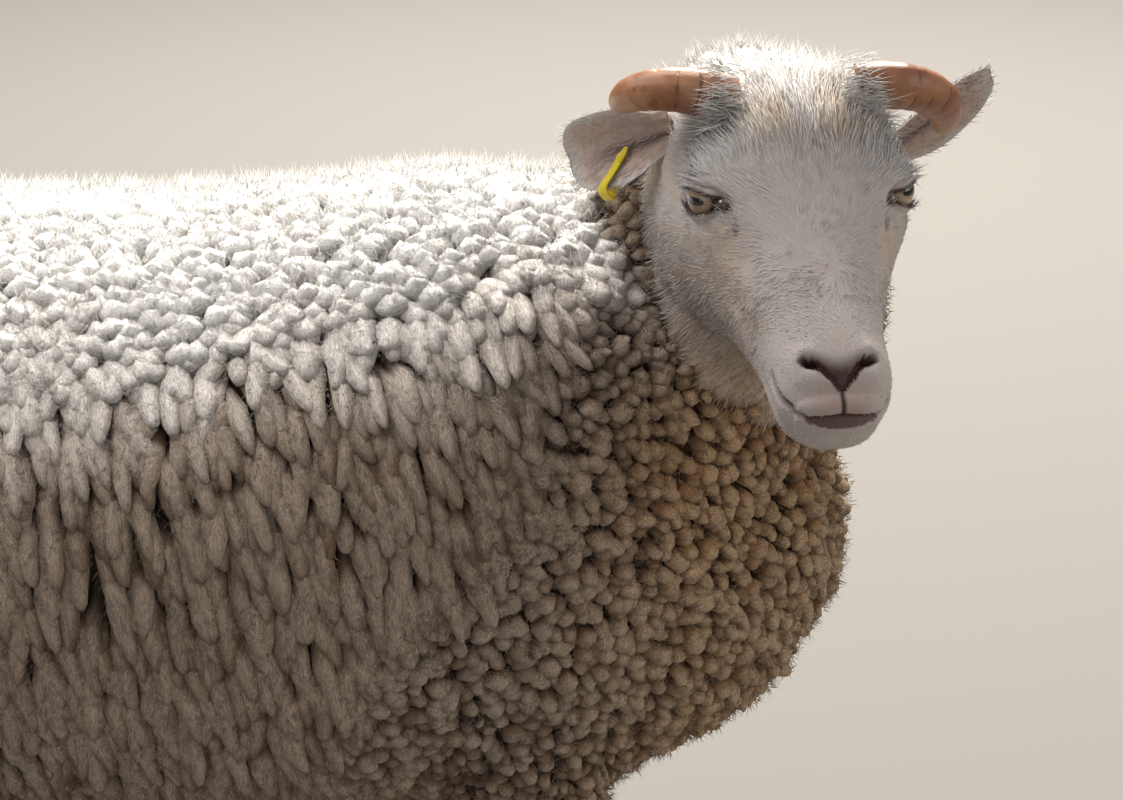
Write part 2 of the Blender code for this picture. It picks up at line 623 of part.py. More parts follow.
def claw_mesh(foot_x, foot_y, inner_side):
    """One of a foot's two claws: flat sole, sloping toe wall, straight inner wall."""
    rings = []
    turn = np.linspace(0, 2 * math.pi, 10, endpoint=False)
    for height, size in CLAW_STEPS:
        along = np.cos(turn) * HOOF_LENGTH / 2 * size
        pointed = np.where(along > 0, 1 - CLAW_POINT * (along / (HOOF_LENGTH / 2)) ** 2, 1.0)
        across = np.sin(turn) * HOOF_WIDTH / 2 * size * pointed
        flat_side = np.maximum(across * inner_side, -HOOF_WIDTH * 0.40) * inner_side
        x = foot_x + CLAW_LEAD + along - height * CLAW_TOE_LEAN * (0.5 + along / HOOF_LENGTH)
        y = foot_y + inner_side * CLAW_SPREAD + flat_side
        rings.append(np.stack([x, y, np.full(len(turn), height)], axis=-1))
    return closed_rings(rings)


def make_foot(label, side, foot_x, foot_y):
    """The two claws of a foot."""
    point, normal = coronet_plane(foot_x)
    for name, inner_side in (("outer", side), ("inner", -side)):
        whole = claw_mesh(foot_x, foot_y, inner_side)
        mesh = half_of(whole, point - normal * GAP / 2, -normal)
        place(f"hoof_{label}_{name}", mesh, "hoof")


def add_dewclaws(leg, side, x, y):
    """Two small blunt claws grown on the leg behind the fetlock."""
    turn = np.linspace(0, 2 * math.pi, 6, endpoint=False)
    for way in (side, -side):
        rings = []
        for share, size in DEWCLAW_STEPS:
            back = np.full(len(turn), x + DEWCLAW_BURIED - share * DEWCLAW_LENGTH)
            across = y + way * DEWCLAW_SPREAD + np.sin(turn) * DEWCLAW_WIDE * size
            rise = DEWCLAW_HEIGHT - share * DEWCLAW_DROP + np.cos(turn) * DEWCLAW_TALL * size
            rings.append(np.stack([back, across, rise], axis=-1))
        carve(leg, closed_rings(rings), "UNION")


def make_leg(label, side, wool, bare, trunk):
    """A leg: its woolly upper part let into the trunk, and its short-haired lower part with the hooves."""
    wool_mesh = leg_form(wool, side, 7, 12)
    carve(trunk, grown(wool_mesh))
    place(f"{label}_upper", wool_mesh, "fleece")
    foot = bare[-2]
    point, normal = coronet_plane(foot.x)
    bare_mesh = leg_form(bare, side, 14, 10)
    below_wool = Vector((0, 0, wool[-1].z - GAP))
    shin = half_of(bare_mesh, below_wool, Vector((0, 0, -1)))
    shin = half_of(shin, point + normal * GAP / 2, normal)
    lower = place(f"{label}_lower", shin, "short_hair")
    foot_y = side * foot.y
    make_foot(label, side, foot.x, foot_y)
    fetlock = bare[5]
    add_dewclaws(lower, side, fetlock.x - fetlock.deep * 0.93, foot_y)


# ------------------------------------------------------------------ the animal
def main():
    """Builds the ewe, piece by piece."""
    for obj in list(bpy.data.objects):
        bpy.data.objects.remove(obj)
    seat = make_head()
    trunk = make_trunk_and_neck(seat)
    make_tail(trunk)
    for label, side in SIDES:
        make_leg(f"foreleg_{label}", side, FORE_WOOL, FORE_BARE, trunk)
        make_leg(f"hindleg_{label}", side, HIND_WOOL, HIND_BARE, trunk)
    for label, side in SIDES:
        make_horn(label, side, seat)
        ear, frame = make_ear(label, side, seat)
        if label == "right":
            make_tag(ear, frame)
    for obj in bpy.data.objects:
        obj.data.transform(Matrix.Translation(BOX_SHIFT))


main()
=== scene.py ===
"""Looks of a small horned ewe in full fleece, standing square with its head turned to its right side.

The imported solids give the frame. One skin replaces every node of flesh and lies inside it by the depth of the
coat. Fleece and hair are solid mesh over that skin. Eyes, horns, hooves and the ear tag are pieces of their
own. All lengths are metres. The head is worked out in its own frame: along to the nose, across to its left,
up to its crown.
"""

from __future__ import annotations

import json
import logging
import math
from dataclasses import dataclass, field, replace
from enum import Enum
from typing import Callable, ClassVar, Iterable, Sequence

import bpy
import numpy as np
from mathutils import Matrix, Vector
from mathutils.bvhtree import BVHTree
from mathutils.kdtree import KDTree

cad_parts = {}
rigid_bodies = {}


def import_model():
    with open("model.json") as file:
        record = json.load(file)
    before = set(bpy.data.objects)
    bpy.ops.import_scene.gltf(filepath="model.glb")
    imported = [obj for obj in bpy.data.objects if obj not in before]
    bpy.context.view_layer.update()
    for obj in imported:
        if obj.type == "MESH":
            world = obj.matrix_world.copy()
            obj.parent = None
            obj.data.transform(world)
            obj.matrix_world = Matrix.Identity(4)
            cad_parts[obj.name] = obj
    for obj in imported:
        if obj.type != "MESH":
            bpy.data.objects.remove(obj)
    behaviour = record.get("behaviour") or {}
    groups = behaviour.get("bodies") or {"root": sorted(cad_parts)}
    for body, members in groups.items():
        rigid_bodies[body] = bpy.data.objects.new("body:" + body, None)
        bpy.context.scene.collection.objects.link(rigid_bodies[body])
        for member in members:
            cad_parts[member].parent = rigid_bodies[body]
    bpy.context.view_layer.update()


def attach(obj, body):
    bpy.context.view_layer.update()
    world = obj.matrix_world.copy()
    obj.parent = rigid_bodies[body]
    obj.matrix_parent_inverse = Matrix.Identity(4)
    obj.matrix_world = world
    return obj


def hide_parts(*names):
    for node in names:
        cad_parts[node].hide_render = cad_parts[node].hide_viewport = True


LOG = logging.getLogger("ewe")
BODY = "root"
SIDES = {"left": 1.0, "right": -1.0}
SPINE_SHIFT = np.array((0.0057, 0.0320, 0.0))  # from the spine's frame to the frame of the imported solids
AHEAD = np.array((1.0, 0.0, 0.0))
LEFT = np.array((0.0, 1.0, 0.0))
UP = np.array((0.0, 0.0, 1.0))
LATTICE_PRIMES = np.array((73856093, 19349663, 83492791))
SEED_PRIME = 2654435761
MIXING_PRIME = 1274126177


# ---------------------------------------------------------------- arithmetic on arrays
def smoothstep(low: float, high: float, value: np.ndarray) -> np.ndarray:
    """Rises smoothly from 0 at low to 1 at high: t*t*(3 - 2t), where t is the clipped share of the way.

    Args:
        low: value at which the step starts.
        high: value at which it ends; it may be below low.
        value: where to work it out.

    Returns:
        Values from 0 to 1.
    """
    share = np.clip((value - low) / (high - low), 0.0, 1.0)
    return share * share * (3.0 - 2.0 * share)


def unit(vectors: np.ndarray) -> np.ndarray:
    """Vectors scaled to length 1 along the last axis."""
    return vectors / np.maximum(np.linalg.norm(vectors, axis=-1, keepdims=True), 1e-12)


def tangent(vectors: np.ndarray, normals: np.ndarray) -> np.ndarray:
    """The vectors without their part along the normals, scaled to length 1."""
    return unit(vectors - (vectors * normals).sum(-1, keepdims=True) * normals)


def bell(points: np.ndarray, centre: Sequence[float], reach: Sequence[float]) -> np.ndarray:
    """A round-topped hump: exp(-q), q the squared distance from centre in units of reach."""
    return np.exp(-(((points - np.array(centre)) / np.array(reach)) ** 2).sum(-1))


def line_distance(points: np.ndarray, path: Sequence[Sequence[float]]) -> np.ndarray:
    """Distance from each point to a broken line: the least distance to any of its straight pieces."""
    best = np.full(points.shape[:-1], 1e9)
    corners = np.array(path, float)
    for start, end in zip(corners, corners[1:]):
        way = end - start
        share = np.clip(((points - start) @ way) / max(way @ way, 1e-12), 0.0, 1.0)
        best = np.minimum(best, np.linalg.norm(points - start - share[..., None] * way, axis=-1))
    return best


def line_share(points: np.ndarray, path: Sequence[Sequence[float]]) -> np.ndarray:
    """How far along the line from the path's first to its last corner each point lies, from 0 to 1."""
    start, end = np.array(path[0], float), np.array(path[-1], float)
    way = end - start
    return np.clip(((points - start) @ way) / (way @ way), 0.0, 1.0)


def lattice_noise(points: np.ndarray, cell: float, seed: int) -> np.ndarray:
    """Smooth noise from -1 to 1: random values on a cubic lattice, blended by smoothstep inside each cell.

    Args:
        points: places, any leading shape, 3 last.
        cell: size of a lattice cell.
        seed: picks another field.

    Returns:
        One value for each point.
    """
    scaled = points / cell
    base = np.floor(scaled)
    share = scaled - base
    share = share * share * (3.0 - 2.0 * share)
    base = base.astype(np.int64)
    total = np.zeros(points.shape[:-1])
    for corner in range(8):
        step = np.array((corner & 1, corner >> 1 & 1, corner >> 2 & 1))
        weight = np.prod(np.where(step == 1, share, 1.0 - share), axis=-1)
        mixed = np.bitwise_xor.reduce((base + step) * LATTICE_PRIMES, axis=-1) ^ (seed * SEED_PRIME)
        mixed = (mixed ^ (mixed >> 13)) * MIXING_PRIME & 0x7FFFFFFF
        mixed = (mixed ^ (mixed >> 16)) & 0xFFFF
        total += weight * (mixed / 32767.5 - 1.0)
    return total


def curve_rows(rows: Sequence[Sequence[float]], steps: np.ndarray) -> np.ndarray:
    """Rows of numbers carried on a Catmull-Rom curve through all of them.

    Args:
        rows: the rows, in order.
        steps: where to read the curve, in rows from the first.

    Returns:
        One row for each step.
    """
    table = np.array(rows, float)
    padded = np.vstack([2 * table[0] - table[1], table, 2 * table[-1] - table[-2]])
    first = np.clip(steps.astype(int), 0, len(table) - 2)
    t = (steps - first)[:, None]
    a, b, c, d = (padded[first + k] for k in range(4))
    return 0.5 * (2 * b + (c - a) * t + (2 * a - 5 * b + 4 * c - d) * t**2 + (3 * b - a - 3 * c + d) * t**3)


def signed_power(value: np.ndarray, power: np.ndarray | float) -> np.ndarray:
    """The value's size raised to a power, with its own sign."""
    return np.sign(value) * np.abs(value) ** power


def fade(distance: np.ndarray, width: float | np.ndarray) -> np.ndarray:
    """1 at distance 0, fading to both sides of it: exp(-(distance/width)^2)."""
    return np.exp(-((distance / width) ** 2))


def whole_turn(count: int) -> np.ndarray:
    """Angles spread evenly over a full turn, from 0."""
    return np.linspace(0, 2 * math.pi, count, endpoint=False)


def mirrored(points: np.ndarray) -> np.ndarray:
    """Points of the head's frame with their across value made positive."""
    return points * (1, 0, 1) + np.abs(points) * (0, 1, 0)


def point_tree(points: np.ndarray) -> KDTree:
    """A search tree of points, each known by its number."""
    tree = KDTree(len(points))
    for k, point in enumerate(points.tolist()):
        tree.insert(point, k)
    tree.balance()
    return tree


# ---------------------------------------------------------------- surfaces and meshes
@dataclass
class Surface:
    """Points joined by four-sided and three-sided faces, with values that the finishes read."""

    points: np.ndarray
    quads: np.ndarray = field(default_factory=lambda: np.zeros((0, 4), np.int64))
    tris: np.ndarray = field(default_factory=lambda: np.zeros((0, 3), np.int64))
    marks: dict[str, np.ndarray] = field(default_factory=dict)

    def triangles(self) -> np.ndarray:
        """Every face as triangles, each four-sided face cut from its first corner to its third."""
        return np.vstack([self.quads[:, [0, 1, 2]], self.quads[:, [0, 2, 3]], self.tris])

    def normals(self) -> np.ndarray:
        """Unit normals at the points: the sum of the areas' normals of the triangles round each."""
        tri = self.triangles()
        a, b, c = (self.points[tri[:, k]] for k in range(3))
        area = np.cross(b - a, c - a)
        total = np.zeros_like(self.points)
        for k in range(3):
            for axis in range(3):
                total[:, axis] += np.bincount(tri[:, k], area[:, axis], len(self.points))
        return unit(total)

    def joined(self, others: Iterable[Surface]) -> Surface:
        """This surface and others as one, keeping the marks that any of them has (0 where it has none)."""
        parts = [self, *others]
        names = {name for part in parts for name in part.marks}
        starts = np.cumsum([0] + [len(part.points) for part in parts])
        return Surface(
            np.vstack([part.points for part in parts]),
            np.vstack([part.quads + start for part, start in zip(parts, starts)]),
            np.vstack([part.tris + start for part, start in zip(parts, starts)]),
            {
                name: np.concatenate([part.marks.get(name, np.zeros(len(part.points))) for part in parts])
                for name in sorted(names)
            },
        )

    def tree(self) -> BVHTree:
        """A search tree over the faces."""
        return BVHTree.FromPolygons(self.points.tolist(), self.triangles().tolist())


def grid_surface(points: np.ndarray, wrap: bool = True, ends: tuple[bool, bool] = (False, False)) -> Surface:
    """A surface over a grid of points, rows first.

    Args:
        points: rows x columns x 3.
        wrap: joins the last column to the first.
        ends: closes the first and the last row by a fan to its middle.

    Returns:
        The surface, facing out where the columns turn left round the way of the rows.
    """
    rows, columns = points.shape[:2]
    index = np.arange(rows * columns).reshape(rows, columns)
    after = np.roll(index, -1, 1) if wrap else index[:, 1:]
    here = index if wrap else index[:, :-1]
    quads = np.stack([here[:-1], after[:-1], after[1:], here[1:]], axis=-1).reshape(-1, 4)
    flat = points.reshape(-1, 3)
    tris = []
    for row, wanted in ((0, ends[0]), (-1, ends[1])):
        if wanted:
            middle = np.full(columns, len(flat))
            ring = index[row]
            pair = (np.roll(ring, -1), ring) if row == 0 else (ring, np.roll(ring, -1))
            tris.append(np.stack([*pair, middle], axis=-1))
            flat = np.vstack([flat, flat[ring].mean(0)])
    return Surface(flat, quads, np.vstack(tris) if tris else np.zeros((0, 3), np.int64))


def facing_out(surface: Surface) -> Surface:
    """The same closed surface with its faces turned outwards, judged by the sign of the volume inside."""
    tri = surface.triangles()
    a, b, c = (surface.points[tri[:, k]] for k in range(3))
    if np.einsum("ij,ij->", a, np.cross(b, c)) >= 0:
        return surface
    return Surface(surface.points, surface.quads[:, ::-1], surface.tris[:, ::-1], surface.marks)


def closed_form(rings: np.ndarray) -> Surface:
    """Rings of points joined into a closed surface that faces out."""
    return facing_out(grid_surface(rings, ends=(True, True)))


def ball_points(lean: np.ndarray, turn: np.ndarray) -> np.ndarray:
    """Points of a ball of radius 1, at angles from its pole and round it."""
    out = np.sin(lean)
    return np.stack([np.cos(turn) * out, np.sin(turn) * out, np.cos(lean) + 0 * turn], axis=-1)


def raised(flat: np.ndarray, height: np.ndarray) -> np.ndarray:
    """Places in a plane, with a height over it as their third number."""
    return np.concatenate([flat, height[..., None]], axis=-1)


def with_ends(values: np.ndarray, first: float = 0.0, last: float = 0.0) -> np.ndarray:
    """Values at the points of a closed form's rings, followed by those at its two ends."""
    return np.concatenate([values.ravel(), (first, last)])


def make_piece(
    name: str,
    surface: Surface,
    finish: bpy.types.Material,
    uv: np.ndarray | None = None,
) -> bpy.types.Object:
    """Puts a surface into the scene as an object that rides on the body.

    Args:
        name: the object's name.
        surface: its points, faces and marks.
        finish: its material.
        uv: one place on the OFBake map for each point, if the piece has that map.

    Returns:
        The object.
    """
    mesh = bpy.data.meshes.new(name)
    mesh.vertices.add(len(surface.points))
    mesh.vertices.foreach_set("co", surface.points.astype(np.float32).ravel())
    corners = np.concatenate([surface.quads.ravel(), surface.tris.ravel()]).astype(np.int32)
    sizes = np.concatenate([np.full(len(surface.quads), 4), np.full(len(surface.tris), 3)])
    mesh.loops.add(len(corners))
    mesh.loops.foreach_set("vertex_index", corners)
    mesh.polygons.add(len(sizes))
    mesh.polygons.foreach_set("loop_start", (np.cumsum(sizes) - sizes).astype(np.int32))
    mesh.update(calc_edges=True)
    mesh.validate()
    for mark, values in surface.marks.items():
        kind, key = ("FLOAT_VECTOR", "vector") if values.ndim == 2 else ("FLOAT", "value")
        layer = mesh.attributes.new(mark, kind, "POINT")
        layer.data.foreach_set(key, values.astype(np.float32).ravel())
    if uv is not None:
        layer = mesh.uv_layers.new(name="OFBake")
        layer.data.foreach_set("uv", uv[corners].astype(np.float32).ravel())
    mesh.shade_smooth()
    mesh.materials.append(finish)
    obj = bpy.data.objects.new(name, mesh)
    bpy.context.scene.collection.objects.link(obj)
    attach(obj, BODY)
    LOG.info("%s: %d faces", name, len(mesh.polygons))
    return obj


@dataclass
class Roots:
    """Places on the skin where locks or tufts grow."""

    points: np.ndarray
    normals: np.ndarray
    marks: dict[str, np.ndarray]

    def __len__(self) -> int:
        """Number of places."""
        return len(self.points)

    def picked(self, keep: np.ndarray) -> Roots:
        """Only the places where keep is true, or in the order that it lists."""
        return Roots(self.points[keep], self.normals[keep], {k: v[keep] for k, v in self.marks.items()})


Spacing = Callable[[np.ndarray, dict[str, np.ndarray]], np.ndarray]
CANDIDATES = 3.0  # places tried for each square of the spacing


def scatter(surface: Surface, spacing: Spacing, seed: int) -> Roots:
    """Even but unordered places on a surface, none nearer to another than the spacing there.

    Candidates are drawn at random over the faces. They are then taken in turn, and each one taken rules out
    those within its spacing.

    Args:
        surface: the surface, whose marks are carried to the places.
        spacing: least distance wanted at points with given marks; 0 or less where nothing grows.
        seed: makes the draw repeatable.

    Returns:
        The places.
    """
    random = np.random.default_rng(seed)
    tri = surface.triangles()
    a, b, c = (surface.points[tri[:, k]] for k in range(3))
    area = np.linalg.norm(np.cross(b - a, c - a), axis=-1) / 2
    apart = spacing((a + b + c) / 3, {name: values[tri].mean(1) for name, values in surface.marks.items()})
    weight = np.where(apart > 0, area / np.maximum(apart, 1e-6) ** 2, 0.0)
    count = int(weight.sum() * CANDIDATES)
    chosen = random.choice(len(tri), count, p=weight / weight.sum())
    first, second = random.random(count), random.random(count)
    flip = first + second > 1
    first[flip], second[flip] = 1 - first[flip], 1 - second[flip]
    shares = np.stack([1 - first - second, first, second], axis=-1)
    corner = tri[chosen]

    def carried(values: np.ndarray) -> np.ndarray:
        """Values at the corners blended by each place's shares."""
        return np.einsum("nk,nk...->n...", shares, values[corner])

    points = carried(surface.points)
    normals = unit(carried(surface.normals()))
    reach = apart[chosen]
    tree = point_tree(points)
    free = np.ones(count, bool)
    kept = []
    for k in range(count):
        if free[k]:
            kept.append(k)
            free[[near[1] for near in tree.find_range(points[k], reach[k])]] = False
    return Roots(
        points[kept],
        normals[kept],
        {name: carried(values)[kept] for name, values in surface.marks.items()},
    )


# ---------------------------------------------------------------- the body
@dataclass
class BodyForm:
    """Trunk, neck, tail and the woolly upper legs as one soft form, out at the tips of the coat."""

    trunk: tuple = (
        # x, top, bottom, half width
        (-0.448, 0.528, 0.385, 0.085),
        (-0.405, 0.588, 0.325, 0.142),
        (-0.330, 0.622, 0.288, 0.178),
        (-0.220, 0.631, 0.260, 0.197),
        (-0.080, 0.627, 0.238, 0.212),
        (0.060, 0.633, 0.238, 0.208),
        (0.165, 0.646, 0.240, 0.190),
        (0.250, 0.634, 0.252, 0.166),
        (0.320, 0.592, 0.292, 0.130),
        (0.367, 0.545, 0.354, 0.080),
    )
    neck: tuple = (
        # x, y, z, half height, half width
        (0.165, 0.000, 0.490, 0.148, 0.150),
        (0.245, 0.000, 0.514, 0.136, 0.138),
        (0.300, -0.002, 0.556, 0.120, 0.122),
        (0.328, -0.014, 0.604, 0.108, 0.103),
        (0.338, -0.039, 0.638, 0.098, 0.081),
        (0.341, -0.070, 0.651, 0.091, 0.057),
    )
    tail: tuple = (
        (-0.392, 0.0, 0.575, 0.024, 0.034),
        (-0.430, 0.0, 0.557, 0.026, 0.036),
        (-0.455, 0.0, 0.520, 0.027, 0.037),
        (-0.470, 0.0, 0.470, 0.026, 0.034),
        (-0.474, 0.0, 0.418, 0.022, 0.028),
        (-0.470, 0.0, 0.385, 0.014, 0.018),
    )
    fore_wool: tuple = (
        # x, y, z, half thickness fore and aft, half thickness across
        (0.200, 0.086, 0.420, 0.078, 0.060),
        (0.196, 0.097, 0.350, 0.078, 0.060),
        (0.204, 0.096, 0.298, 0.060, 0.051),
        (0.212, 0.091, 0.258, 0.043, 0.038),
        (0.216, 0.088, 0.228, 0.033, 0.030),
    )
    hind_wool: tuple = (
        (-0.300, 0.088, 0.490, 0.122, 0.070),
        (-0.305, 0.104, 0.410, 0.134, 0.078),
        (-0.320, 0.106, 0.340, 0.108, 0.068),
        (-0.347, 0.099, 0.288, 0.070, 0.050),
        (-0.369, 0.092, 0.250, 0.043, 0.036),
    )
    squareness: float = 2.2  # 2 makes an oval section, more makes it squarer
    voxel: float = 0.0099
    passes: int = 6
    wool_depth: float = 0.015
    leg_depth: float = 0.008
    tail_depth: float = 0.011
    throat_depth: float = 0.004

    def loft(self, rows: Sequence[Sequence[float]], crown: Sequence[float], dome: float = 0.4) -> Surface:
        """A closed form of rounded sections carried along a curve, with domed ends.

        Each section has the outline (wide*sin^p, tall*cos^p) with p = 2/squareness, across and up from its
        middle. The domes repeat the last section, shrunk by cos(lean) and moved on by dome*radius*sin(lean).

        Args:
            rows: middle, half height and half width of each section.
            crown: the way that a section's height points, as near as it can.
            dome: depth of the domed ends, in radii.

        Returns:
            The form.
        """
        table = curve_rows(rows, np.linspace(0, len(rows) - 1, 40))
        middles = table[:, :3]
        ways = unit(np.gradient(middles, axis=0))
        across = unit(np.cross(ways, np.array(crown, float)))
        rise = np.cross(across, ways)
        turn = whole_turn(48)
        sine = signed_power(np.sin(turn), 2 / self.squareness)
        cosine = signed_power(np.cos(turn), 2 / self.squareness)
        rings = (
            middles[:, None]
            + across[:, None] * sine[:, None] * table[:, None, 4:5]
            + rise[:, None] * cosine[:, None] * table[:, None, 3:4]
        )
        leans = np.radians((25.0, 50.0, 75.0))[:, None, None]
        caps = []
        for end, sign in ((0, -1.0), (-1, 1.0)):
            radius = np.linalg.norm(rings[end] - middles[end], axis=-1).mean()
            cap = middles[end] + (rings[end] - middles[end]) * np.cos(leans)
            caps.append(cap + sign * dome * radius * ways[end] * np.sin(leans))
        return grid_surface(np.concatenate([caps[0][::-1], rings, caps[1]]), ends=(True, True))

    def forms(self) -> list[Surface]:
        """The separate forms that make up the body."""
        upright = [
            (x, 0.0, (top + bottom) / 2, (top - bottom) / 2, wide) for x, top, bottom, wide in self.trunk
        ]
        found = [
            self.loft(upright, UP, 0.45),
            self.loft(self.neck, UP, 0.2),
            self.loft(self.tail, AHEAD, 0.8),
        ]
        for rows in (self.fore_wool, self.hind_wool):
            for side in SIDES.values():
                leg = [(x, side * y, z, deep, wide) for x, y, z, deep, wide in rows]
                found.append(self.loft(leg, AHEAD, 0.25))
        return found

    def tips(self) -> Surface:
        """The forms merged into one closed surface (by voxels) and softened."""
        whole = Surface(np.zeros((0, 3))).joined(self.forms())
        mesh = bpy.data.meshes.new("forms")
        mesh.from_pydata(whole.points.tolist(), [], whole.quads.tolist() + whole.tris.tolist())
        rough = bpy.data.objects.new("forms", mesh)
        bpy.context.scene.collection.objects.link(rough)
        remesh = rough.modifiers.new("merge", "REMESH")
        remesh.mode = "VOXEL"
        remesh.voxel_size = self.voxel
        soften = rough.modifiers.new("soften", "SMOOTH")
        soften.iterations = self.passes
        graph = bpy.context.evaluated_depsgraph_get()
        merged = rough.evaluated_get(graph).to_mesh()
        points = np.empty(len(merged.vertices) * 3, np.float32)
        merged.vertices.foreach_get("co", points)
        corners = np.empty(len(merged.loops), np.int32)
        merged.loops.foreach_get("vertex_index", corners)
        rough.evaluated_get(graph).to_mesh_clear()
        bpy.data.objects.remove(rough)
        bpy.data.meshes.remove(mesh)
        places = points.reshape(-1, 3).astype(float) + SPINE_SHIFT
        return Surface(places, corners.reshape(-1, 4).astype(np.int64))

    def depth(self, points: np.ndarray, pose: HeadPose) -> np.ndarray:
        """Depth of the coat under each point: that of the fleece, thinning down the legs and by the face."""
        x, y, z = (points - SPINE_SHIFT).T
        by_foreleg = smoothstep(0.13, 0.16, x) * smoothstep(0.30, 0.27, x)
        by_hindleg = smoothstep(-0.24, -0.28, x)
        low = smoothstep(0.37, 0.26, z) * smoothstep(0.030, 0.050, np.abs(y))
        on_leg = low * np.clip(by_foreleg + by_hindleg, 0, 1)
        by_tail = smoothstep(0.075, 0.050, np.abs(y)) * smoothstep(0.60, 0.57, z)
        on_tail = smoothstep(-0.425, -0.450, x) * by_tail
        depth = self.wool_depth + (self.leg_depth - self.wool_depth) * on_leg
        depth = depth + (self.tail_depth - depth) * on_tail
        return depth + (self.throat_depth - depth) * short_haired(points, pose)

    def skin(self, tips: Surface, pose: HeadPose) -> Surface:
        """The tips' surface moved in along its normals by the coat's depth."""
        depth = self.depth(tips.points, pose)
        short = short_haired(tips.points, pose)
        woolly = smoothstep(0.5, 0.1, short) * smoothstep(0.004, 0.010, depth)
        moved = tips.points - tips.normals() * depth[:, None]
        # woolly: skin under the fleece, which the skin finish darkens as painted shade between the locks.
        marks = {"short": short, Mark.TAN.value: 0.3 * short, "woolly": woolly}
        return Surface(moved, tips.quads, tips.tris, marks)


@dataclass(frozen=True)
class HeadPose:
    """Where the head is and how it is turned."""

    origin: tuple = (0.350, -0.062, 0.700)
    yaw: float = math.radians(81.0)
    pitch: float = math.radians(26.0)
    roll: float = math.radians(-0.5)

    def axes(self) -> np.ndarray:
        """Rows: the way of the nose, of the head's left, and of its crown."""
        nose = np.array((
            math.cos(self.pitch) * math.cos(self.yaw),
            -math.cos(self.pitch) * math.sin(self.yaw),
            -math.sin(self.pitch),
        ))
        level = np.array((math.sin(self.yaw), math.cos(self.yaw), 0.0))
        left = level * math.cos(self.roll) + np.cross(nose, level) * math.sin(self.roll)
        return np.stack([nose, left, np.cross(nose, left)])

    def to_world(self, points: np.ndarray) -> np.ndarray:
        """Points of the head's frame in the frame of the solids."""
        return np.asarray(points) @ self.axes() + np.array(self.origin) + SPINE_SHIFT

    def to_head(self, points: np.ndarray) -> np.ndarray:
        """Points of the frame of the solids in the head's frame."""
        return (np.asarray(points) - np.array(self.origin) - SPINE_SHIFT) @ self.axes().T


BORDER_OUT = (0.0, 0.010, 0.049, 0.068, 0.076, 0.082)
BORDER_DEPTH = (0.185, 0.179, 0.153, 0.117, 0.050, -0.05)
BORDER_SOFTNESS = 0.005


def throat_depth(local: np.ndarray) -> np.ndarray:
    """How far points of the head's frame lie below the eyes, along a line 44 degrees off the head's axis."""
    return 0.716 * local[..., 0] - 0.69 * local[..., 2]


def short_haired(points: np.ndarray, pose: HeadPose) -> np.ndarray:
    """1 on the throat, the jaw's corners and before the ears where the hair is short, 0 in the fleece.

    The fleece's border runs at a depth on the throat that falls from the middle out to the sides.
    """
    local = pose.to_head(points)
    along, across = local[..., 0], local[..., 1]
    out = np.where(across > 0, 0.92 * across, -across)
    beyond = throat_depth(local) - np.interp(out, BORDER_OUT, BORDER_DEPTH)
    return smoothstep(BORDER_SOFTNESS, -BORDER_SOFTNESS, beyond) * smoothstep(-0.018, -0.006, along)


# ---------------------------------------------------------------- the head
class Mark(Enum):
    """Values kept at the points of skin and coat alike, which the finishes turn into colour."""

    # DARK also holds painted shade: the ears' folds and hollows, and the upper lids under the lashes.
    DARK = "dark"  # nose leather, lips and rims of the eyes
    PINK = "pink"  # thinly haired pink skin
    TAN = "tan"  # cream and tan tinge of the hair


